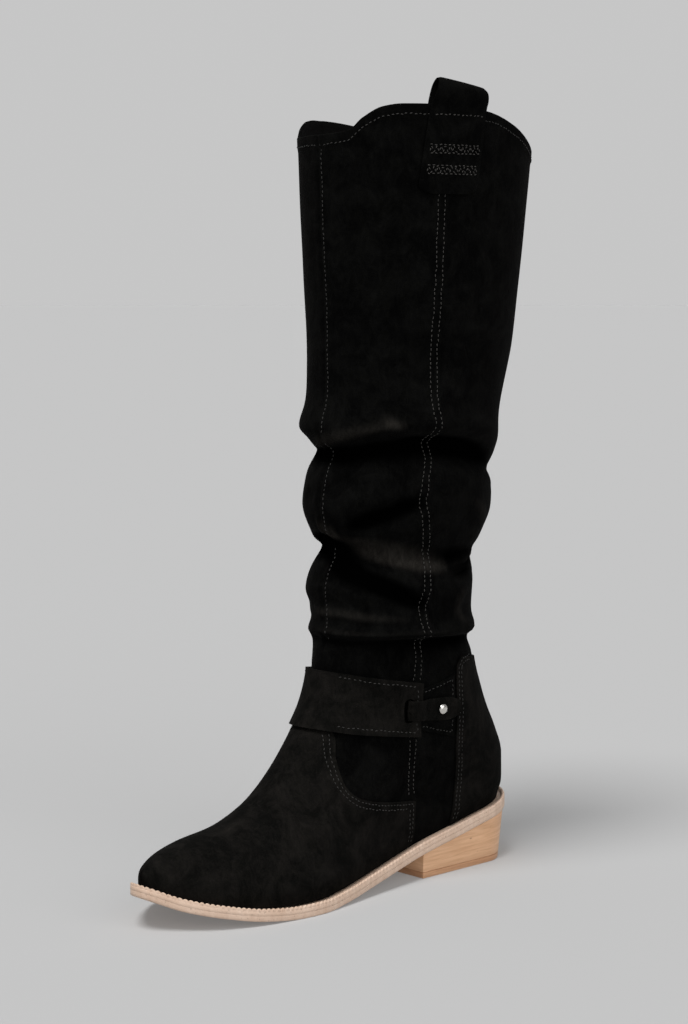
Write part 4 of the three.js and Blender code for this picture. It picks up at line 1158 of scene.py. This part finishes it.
def make_welt(material):
    """The welt: a strip round the last with a wheeled bead along its edge."""
    count = BEADS * BEAD_STEPS
    turn = sole_ring(count)
    notch = np.abs(np.cos(np.pi * np.arange(count) / BEAD_STEPS)) ** 6
    bead = BEAD_HEIGHT * (1 - 0.42 * notch)
    low = OUTSOLE + 0.02
    inner = -(FEATHER_TUCK + WALL + 2 * GAP)
    edge = SOLE_LEDGE
    section = [
        (inner, low), (edge - 0.06, low), (edge - 0.02, low + 0.02), (edge, low + 0.1),
        (edge, SOLE_STACK - 0.5), (edge - 0.2, SOLE_STACK - 0.2),
        (edge - 0.02 - 0.3 * notch, SOLE_STACK + 0.35 * bead),
        (edge - 0.3 - 0.2 * notch, SOLE_STACK + 0.8 * bead),
        (edge - BEAD_WIDTH * 0.42, SOLE_STACK + bead),
        (edge - BEAD_WIDTH * 0.75, SOLE_STACK + 0.75 * bead),
        (edge - BEAD_WIDTH, SOLE_STACK), (inner, SOLE_STACK)]
    points = np.stack([ring_points(turn, grow, level) for grow, level in section], 1)
    made = piece("welt_leather", points, ring_faces(count, len(section)), material, weld=False)
    return dress(shade(made, 45), "sole_leather", "welt")


OUTSOLE_INNER_SHARE = 0.6


def make_outsole(material):
    """The outsole: a plate with a softly rounded edge."""
    count = 520
    turn = sole_ring(count)
    top, edge = OUTSOLE - 0.05, SOLE_LEDGE
    section = [(edge - 0.9, 0.0), (edge - 0.3, 0.12), (edge - 0.02, 0.5), (edge, 1.3), (edge, top - 0.1),
               (edge - 0.03, top), (edge - 0.9, top)]
    edges = [ring_points(turn, grow, level) for grow, level in section]
    s = HEEL_MIDDLE - edges[0][:, 1]
    low_spine, top_spine = [world(middle_at(s), s, underside(s) + level) for level in (0.0, top)]
    low_half = low_spine + (edges[0] - low_spine) * OUTSOLE_INNER_SHARE
    top_half = top_spine + (edges[-1] - top_spine) * OUTSOLE_INNER_SHARE
    # The top is hidden by the welt and the insole; its last ring stands after the spine
    points = np.stack([low_spine, low_half, *edges[:-1], top_half, top_spine, edges[-1]], 1)
    faces = []
    size = points.shape[1]
    for i in range(count):
        for j in range(size - 1):
            a, d = i * size + j, (i + 1) % count * size + j
            faces.append([a, a + 1, d + 1, d])
    made = piece("outsole_leather", points, faces, material)
    return dress(shade(made, 45), "sole_leather", "outsole")


def heel_ring(climbed, level):
    """The heel's outline at a share of the way from the floor to the sole."""
    breast = HEEL_INSET + HEEL_LENGTH
    top_grow = SOLE_LEDGE - 1
    share = np.sin(np.linspace(0, math.pi / 2, 40))
    floor_s = breast - HEEL_LENGTH * share
    floor_half = HEEL_WIDTH / 2 * round_end((floor_s - HEEL_INSET) / HEEL_CORNER)
    sole_s = breast - (breast + top_grow) * share
    s = floor_s + (sole_s - floor_s) * climbed
    half = floor_half + (outline_half(sole_s, top_grow) - floor_half) * climbed
    middle = middle_at(sole_s) * climbed
    z = underside(sole_s) - GAP if level is None else np.full_like(s, level)
    return np.concatenate((world(middle + half, s, z), world(middle - half, s, z)[-2::-1]))


def heel_piece(name, levels, material, node):
    rings = [heel_ring(climbed, level) for climbed, level in levels]
    size = len(rings[0])
    faces = [list(range(size))[::-1], list(range((len(rings) - 1) * size, len(rings) * size))]
    faces += tube_faces(len(rings), size)
    made = piece(name, np.concatenate(rings), faces, material)
    bevel = made.modifiers.new("edges", "BEVEL")
    bevel.width = 0.4 * MM
    bevel.segments = 2
    bevel.angle_limit = math.radians(40)
    carve(made)
    return dress(shade(made, 40), "stacked_heel", node)


def srgb(text):
    """A hex colour as linear values."""
    values = [int(text[i:i + 2], 16) / 255 for i in (1, 3, 5)]
    return (*[v / 12.92 if v <= 0.04045 else ((v + 0.055) / 1.055) ** 2.4 for v in values], 1)


def node(tree, kind, inputs=None, **settings):
    """Adds a node with its settings, its values and its links."""
    made = tree.nodes.new(kind)
    for name, value in settings.items():
        setattr(made, name, value)
    for name, value in (inputs or {}).items():
        if isinstance(value, bpy.types.NodeSocket):
            tree.links.new(value, made.inputs[name])
        else:
            made.inputs[name].default_value = value
    return made


def new_material(name):
    made = bpy.data.materials.new(name)
    made.use_nodes = True
    made.node_tree.nodes.clear()
    return made, made.node_tree


def per_mm(size):
    """The texture scale that gives features of a size in millimetres."""
    return 1 / (size * MM)


NAP_CLOUD = 17
NAP_STROKE = 5
FIBRE = 0.75
PORE = 0.5
GRAIN_LAYER = 1.3


def brushed_suede(name, deep, worn, rubbed_and_lit):
    """Split leather with its flesh side buffed: hardly any gloss, a faint haze at grazing angles,
    and clouds of lighter nap at random. Painted shade turns the hollows of folds and creases near black
    and takes out their gloss and haze; the crests are made lighter, partly worn nap and partly a painted
    highlight. The fibres are drawn coarser than real ones so that they show."""
    made, tree = new_material(name)
    place = node(tree, "ShaderNodeTexCoord").outputs["Object"]
    cloud = node(tree, "ShaderNodeTexNoise", {
        "Vector": place, "Scale": per_mm(NAP_CLOUD), "Detail": 5.0, "Roughness": 0.62,
        "Distortion": 0.8})
    drawn = node(tree, "ShaderNodeMapping", {"Vector": place, "Scale": (1.0, 1.0, 0.55)})
    stroke = node(tree, "ShaderNodeTexNoise", {
        "Vector": drawn.outputs[0], "Scale": per_mm(NAP_STROKE), "Detail": 4.0, "Roughness": 0.65,
        "Distortion": 1.6})
    fibre = node(tree, "ShaderNodeTexNoise", {
        "Vector": place, "Scale": per_mm(FIBRE), "Detail": 3.0, "Roughness": 0.7})
    soft = node(tree, "ShaderNodeMapRange", {
        "Value": cloud.outputs["Fac"], "From Min": 0.4, "From Max": 0.72, "To Max": 0.62})
    fine = node(tree, "ShaderNodeMapRange", {
        "Value": stroke.outputs["Fac"], "From Min": 0.42, "From Max": 0.8, "To Max": 0.42})
    grains = node(tree, "ShaderNodeMapRange", {
        "Value": fibre.outputs["Fac"], "From Min": 0.35, "From Max": 0.75, "To Min": -0.1,
        "To Max": 0.16})
    both = node(tree, "ShaderNodeMath", {0: soft.outputs[0], 1: fine.outputs[0]}, operation="ADD")
    nap = node(tree, "ShaderNodeMath", {0: both.outputs[0], 1: grains.outputs[0]}, operation="ADD",
               use_clamp=True)
    hide = node(tree, "ShaderNodeMix", {0: nap.outputs[0], 6: srgb(deep), 7: srgb(worn)},
                data_type="RGBA")
    # Crests painted lighter: partly worn nap, partly a painted highlight
    rub_and_highlight = node(tree, "ShaderNodeAttribute", attribute_name="rub_and_highlight")
    share = node(tree, "ShaderNodeMath", {0: rub_and_highlight.outputs["Fac"], 1: stroke.outputs["Fac"]},
                 operation="MULTIPLY", use_clamp=True)
    worn_and_lit_nap = node(tree, "ShaderNodeMix", {0: share.outputs[0], 6: hide.outputs[2], 7: srgb(rubbed_and_lit)},
                   data_type="RGBA")
    # Painted shade: hollows of folds and creases go near black and lose their gloss and haze
    hollow = node(tree, "ShaderNodeAttribute", attribute_name="hollow")
    colour = node(tree, "ShaderNodeMix", {0: hollow.outputs["Fac"], 6: worn_and_lit_nap.outputs[2],
                                          7: srgb("#010101")}, data_type="RGBA")
    deep_bump = node(tree, "ShaderNodeBump", {
        "Height": stroke.outputs["Fac"], "Strength": 0.5, "Distance": 0.5 * MM})
    bump = node(tree, "ShaderNodeBump", {
        "Height": fibre.outputs["Fac"], "Strength": 0.7, "Distance": 0.22 * MM,
        "Normal": deep_bump.outputs[0]})
    gloss = node(tree, "ShaderNodeMapRange", {
        "Value": hollow.outputs["Fac"], "To Min": 0.03, "To Max": 0.0})
    haze = node(tree, "ShaderNodeMapRange", {
        "Value": hollow.outputs["Fac"], "To Min": 0.02, "To Max": 0.0})
    shader = node(tree, "ShaderNodeBsdfPrincipled", {
        "Base Color": colour.outputs[2], "Roughness": 0.98, "Specular IOR Level": gloss.outputs[0],
        "Sheen Weight": haze.outputs[0], "Sheen Roughness": 0.5, "Sheen Tint": srgb("#6b655e"),
        "Normal": bump.outputs[0]})
    node(tree, "ShaderNodeOutputMaterial", {"Surface": shader.outputs[0]})
    return made


def pigskin_lining():
    """Smooth dyed lining leather: dark, with fine pores and a dull sheen."""
    made, tree = new_material("pigskin_lining")
    place = node(tree, "ShaderNodeTexCoord").outputs["Object"]
    pores = node(tree, "ShaderNodeTexVoronoi", {
        "Vector": place, "Scale": per_mm(2.2), "Randomness": 1.0})
    cloud = node(tree, "ShaderNodeTexNoise", {"Vector": place, "Scale": per_mm(25), "Detail": 4.0})
    colour = node(tree, "ShaderNodeMix", {
        0: cloud.outputs["Fac"], 6: srgb("#040303"), 7: srgb("#0b0a09")}, data_type="RGBA")
    bump = node(tree, "ShaderNodeBump", {
        "Height": pores.outputs["Distance"], "Strength": 0.4, "Distance": 0.15 * MM})
    shader = node(tree, "ShaderNodeBsdfPrincipled", {
        "Base Color": colour.outputs[2], "Roughness": 0.8, "Specular IOR Level": 0.06,
        "Normal": bump.outputs[0]})
    node(tree, "ShaderNodeOutputMaterial", {"Surface": shader.outputs[0]})
    return made


def vegetable_tanned_sole():
    """Vegetable-tanned sole leather, edge trimmed and waxed: warm tan with faint marks of the knife
    across the edge, darker specks and a low waxy gloss."""
    made, tree = new_material("vegetable_tanned_sole")
    place = node(tree, "ShaderNodeTexCoord").outputs["Object"]
    drawn = node(tree, "ShaderNodeMapping", {"Vector": place, "Scale": (1.1, 1.1, 0.45)})
    streak = node(tree, "ShaderNodeTexNoise", {
        "Vector": drawn.outputs[0], "Scale": per_mm(4), "Detail": 5.0, "Roughness": 0.6})
    cloud = node(tree, "ShaderNodeTexNoise", {"Vector": place, "Scale": per_mm(12), "Detail": 3.0})
    speck = node(tree, "ShaderNodeTexNoise", {"Vector": place, "Scale": per_mm(PORE * 2), "Detail": 2.0})
    base = node(tree, "ShaderNodeMix", {
        0: streak.outputs["Fac"], 6: srgb("#b89881"), 7: srgb("#dfc8b5")}, data_type="RGBA")
    warm = node(tree, "ShaderNodeMapRange", {
        "Value": cloud.outputs["Fac"], "From Min": 0.45, "From Max": 0.8, "To Max": 0.5})
    toned = node(tree, "ShaderNodeMix", {0: warm.outputs[0], 6: base.outputs[2], 7: srgb("#bd9d85")},
                 data_type="RGBA")
    dots = node(tree, "ShaderNodeMapRange", {
        "Value": speck.outputs["Fac"], "From Min": 0.62, "From Max": 0.74, "To Max": 0.5})
    colour = node(tree, "ShaderNodeMix", {0: dots.outputs[0], 6: toned.outputs[2], 7: srgb("#6d5443")},
                  data_type="RGBA")
    bump = node(tree, "ShaderNodeBump", {
        "Height": streak.outputs["Fac"], "Strength": 0.35, "Distance": 0.2 * MM})
    shader = node(tree, "ShaderNodeBsdfPrincipled", {
        "Base Color": colour.outputs[2], "Roughness": 0.52, "Normal": bump.outputs[0]})
    node(tree, "ShaderNodeOutputMaterial", {"Surface": shader.outputs[0]})
    return made


def stacked_layers(name, pale, dark, knot):
    """A stacked heel with thin layers pressed together and lacquered: level streaks of pale pinkish
    tan, a few darker flecks like knots, and a soft lacquer gloss."""
    made, tree = new_material(name)
    place = node(tree, "ShaderNodeTexCoord").outputs["Object"]
    drawn = node(tree, "ShaderNodeMapping", {"Vector": place, "Scale": (0.06, 0.06, 1.0)})
    layer = node(tree, "ShaderNodeTexNoise", {
        "Vector": drawn.outputs[0], "Scale": per_mm(GRAIN_LAYER), "Detail": 6.0, "Roughness": 0.6,
        "Distortion": 0.3})
    wide = node(tree, "ShaderNodeTexNoise", {
        "Vector": drawn.outputs[0], "Scale": per_mm(5), "Detail": 3.0})
    base = node(tree, "ShaderNodeMapRange", {
        "Value": layer.outputs["Fac"], "From Min": 0.3, "From Max": 0.7})
    grain = node(tree, "ShaderNodeMix", {0: base.outputs[0], 6: srgb(dark), 7: srgb(pale)},
                 data_type="RGBA")
    band = node(tree, "ShaderNodeMapRange", {
        "Value": wide.outputs["Fac"], "From Min": 0.5, "From Max": 0.75, "To Max": 0.4})
    toned = node(tree, "ShaderNodeMix", {0: band.outputs[0], 6: grain.outputs[2], 7: srgb(dark)},
                 data_type="RGBA")
    flat = node(tree, "ShaderNodeMapping", {"Vector": place, "Scale": (1.0, 1.0, 2.2)})
    knots = node(tree, "ShaderNodeTexVoronoi", {"Vector": flat.outputs[0], "Scale": per_mm(13)})
    fleck = node(tree, "ShaderNodeMapRange", {
        "Value": knots.outputs["Distance"], "From Min": 0.1, "From Max": 0.04, "To Max": 0.7})
    colour = node(tree, "ShaderNodeMix", {0: fleck.outputs[0], 6: toned.outputs[2], 7: srgb(knot)},
                  data_type="RGBA")
    bump = node(tree, "ShaderNodeBump", {
        "Height": layer.outputs["Fac"], "Strength": 0.3, "Distance": 0.15 * MM})
    shader = node(tree, "ShaderNodeBsdfPrincipled", {
        "Base Color": colour.outputs[2], "Roughness": 0.45, "Coat Weight": 0.25, "Coat Roughness": 0.3,
        "Normal": bump.outputs[0]})
    node(tree, "ShaderNodeOutputMaterial", {"Surface": shader.outputs[0]})
    return made


def polished_steel():
    """Polished nickel-plated steel: a bright, slightly hazed dome, the haze uneven in small patches."""
    made, tree = new_material("polished_steel")
    place = node(tree, "ShaderNodeTexCoord").outputs["Object"]
    haze = node(tree, "ShaderNodeTexNoise", {"Vector": place, "Scale": per_mm(1.5), "Detail": 3.0})
    rough = node(tree, "ShaderNodeMapRange", {
        "Value": haze.outputs["Fac"], "To Min": 0.14, "To Max": 0.3})
    shader = node(tree, "ShaderNodeBsdfPrincipled", {
        "Base Color": srgb("#d9d6d0"), "Metallic": 1.0, "Roughness": rough.outputs[0]})
    node(tree, "ShaderNodeOutputMaterial", {"Surface": shader.outputs[0]})
    return made


def spun_thread(name, colour_text):
    """Bonded polyester thread: dull grey with a twist that catches light in tiny bands."""
    made, tree = new_material(name)
    place = node(tree, "ShaderNodeTexCoord").outputs["Object"]
    twist = node(tree, "ShaderNodeTexNoise", {"Vector": place, "Scale": per_mm(0.5), "Detail": 2.0})
    colour = node(tree, "ShaderNodeMix", {
        0: twist.outputs["Fac"], 6: srgb("#1d1c1b"), 7: srgb(colour_text)}, data_type="RGBA")
    bump = node(tree, "ShaderNodeBump", {
        "Height": twist.outputs["Fac"], "Strength": 0.5, "Distance": 0.1 * MM})
    shader = node(tree, "ShaderNodeBsdfPrincipled", {
        "Base Color": colour.outputs[2], "Roughness": 0.75, "Normal": bump.outputs[0]})
    node(tree, "ShaderNodeOutputMaterial", {"Surface": shader.outputs[0]})
    return made


def grey_paper(name, shade_of_grey, glow):
    """Matt studio paper: an even pale grey with no gloss, partly lit from behind."""
    made, tree = new_material(name)
    grey = (shade_of_grey, shade_of_grey, shade_of_grey, 1)
    shader = node(tree, "ShaderNodeBsdfPrincipled", {
        "Base Color": grey, "Roughness": 1.0, "Specular IOR Level": 0.0,
        "Emission Color": (1, 1, 1, 1), "Emission Strength": glow})
    node(tree, "ShaderNodeOutputMaterial", {"Surface": shader.outputs[0]})
    return made


# The last colour is that of the lighter crests: partly worn nap, partly a painted highlight
leg_suede = brushed_suede("black_leg_suede", "#020202", "#0f0f0e", "#373430")
panel_suede = brushed_suede("black_panel_suede", "#080807", "#1c1a18", "#262420")
lining = pigskin_lining()
sole_leather = vegetable_tanned_sole()
heel_stack = stacked_layers("stacked_heel_layers", "#e6b991", "#c9986f", "#946446")
lift_stack = stacked_layers("heel_lift_layers", "#cc9d76", "#a97a56", "#7a5038")
steel = polished_steel()
thread = spun_thread("grey_thread", "#3b3834")
dark_thread = spun_thread("dark_grey_thread", "#24221f")

make_upper(leg_suede, lining)
make_vamp(panel_suede)
make_counter(panel_suede)
make_strap(panel_suede)
make_anchor(leg_suede)
make_strap_tab(panel_suede)
make_stud(steel)
make_pull_tab(leg_suede)
make_welt(sole_leather)
make_outsole(sole_leather)
block_levels = [((LIFT + GAP) / HEEL_HEIGHT, LIFT + 0.05), (0.4, 0.4 * HEEL_HEIGHT), (1.0, None)]
lift_levels = [(0.0, 0.0), (LIFT / HEEL_HEIGHT, LIFT)]
heel_piece("heel_block_stack", block_levels, heel_stack, "heel_block")
heel_piece("heel_lift_layer", lift_levels, lift_stack, "heel_lift")
side_seam_lines, plain_leg_lines = leg_stitch_lines()
stitches("side_seam_stitching", side_seam_lines, thread, "upper_suede")
stitches("leg_stitching", plain_leg_lines, dark_thread, "upper_suede")
vamp_lines = panel_stitch_lines(
    vamp_edge, [-row for row in PANEL_ROWS], lambda line: line[:, 1] < up(VAMP_ROWS_TOP))
counter_lines = panel_stitch_lines(
    counter_edge, PANEL_ROWS, lambda line: line[:, 0] > COUNTER_ROWS_FROM)
stitches("vamp_stitching", vamp_lines, dark_thread, "panel_suede")
stitches("counter_stitching", counter_lines, dark_thread, "panel_suede")
stitches("strap_stitching", strap_stitch_lines(), dark_thread, "panel_suede")
stitches("pull_tab_stitching", pull_tab_stitch_lines(), thread, "panel_suede")

insole = frame["nodes"]["insole"]
insole.data.materials.clear()
insole.data.materials.append(lining)

# The studio: a pale floor, soft lights and the camera at the photo's place
FLOOR_SIZE = 30
PALE_GREY = 0.567
FLOOR_ALBEDO = 0.355
FLOOR_GLOW = 0.13
ROOM_GREY = "#c6c6c7"
ROOM_LIGHT = 0.45
CAMERA_PLACE = (0.89253, -0.91008, 0.33489)
CAMERA_FORWARD = (-0.72457, 0.68142, -0.10328)
PHOTO_HEIGHT_PX = 1024
FOCAL_PX = 2223.8

toward = np.array((-CAMERA_FORWARD[0], -CAMERA_FORWARD[1], 0))
leftward = np.array((-CAMERA_FORWARD[1], CAMERA_FORWARD[0], 0))
upward = np.array((0, 0, 1.0))


def paper(name, points, surface):
    """A flat sheet of the studio, from points in metres."""
    sheet = piece(name, np.array(points) / MM, [[0, 1, 2, 3]], surface, weld=False)
    return sheet


floor_corners = [leftward * a * FLOOR_SIZE + toward * b * FLOOR_SIZE
                 for a, b in ((1, -1), (-1, -1), (-1, 1), (1, 1))]
paper("floor", floor_corners, grey_paper("pale_grey_paper", FLOOR_ALBEDO, FLOOR_GLOW))
backdrop = paper("backdrop", [
    floor_corners[0], floor_corners[1], floor_corners[1] + upward * FLOOR_SIZE,
    floor_corners[0] + upward * FLOOR_SIZE], grey_paper("pale_grey_backdrop", 0.0, PALE_GREY))
backdrop.visible_diffuse = False


def soft_sun(name, left, near, high, strength, degrees):
    """Even light from one direction, given as shares to the left, towards the camera and up."""
    light = bpy.data.lights.new(name, "SUN")
    light.energy = strength
    light.angle = math.radians(degrees)
    made = bpy.data.objects.new(name, light)
    bpy.context.scene.collection.objects.link(made)
    direction = -(leftward * left + toward * near + upward * high)
    made.rotation_euler = Vector(direction).to_track_quat("-Z", "Y").to_euler()


soft_sun("key", 0.35, 0.5, 1.35, 2.8, 24)
soft_sun("fill", -0.7, 0.9, 0.5, 1.2, 60)

studio = bpy.data.worlds.new("studio")
studio.use_nodes = True
room = studio.node_tree.nodes["Background"]
room.inputs["Color"].default_value = srgb(ROOM_GREY)
room.inputs["Strength"].default_value = ROOM_LIGHT
bpy.context.scene.world = studio
bpy.context.scene.view_settings.view_transform = "Standard"

camera = bpy.data.objects.new("camera", bpy.data.cameras.new("camera"))
bpy.context.scene.collection.objects.link(camera)
camera.location = CAMERA_PLACE
camera.rotation_euler = Vector(CAMERA_FORWARD).to_track_quat("-Z", "Y").to_euler()
camera.data.sensor_fit = "VERTICAL"
camera.data.angle = 2 * math.atan(PHOTO_HEIGHT_PX / 2 / FOCAL_PX)
bpy.context.scene.camera = camera
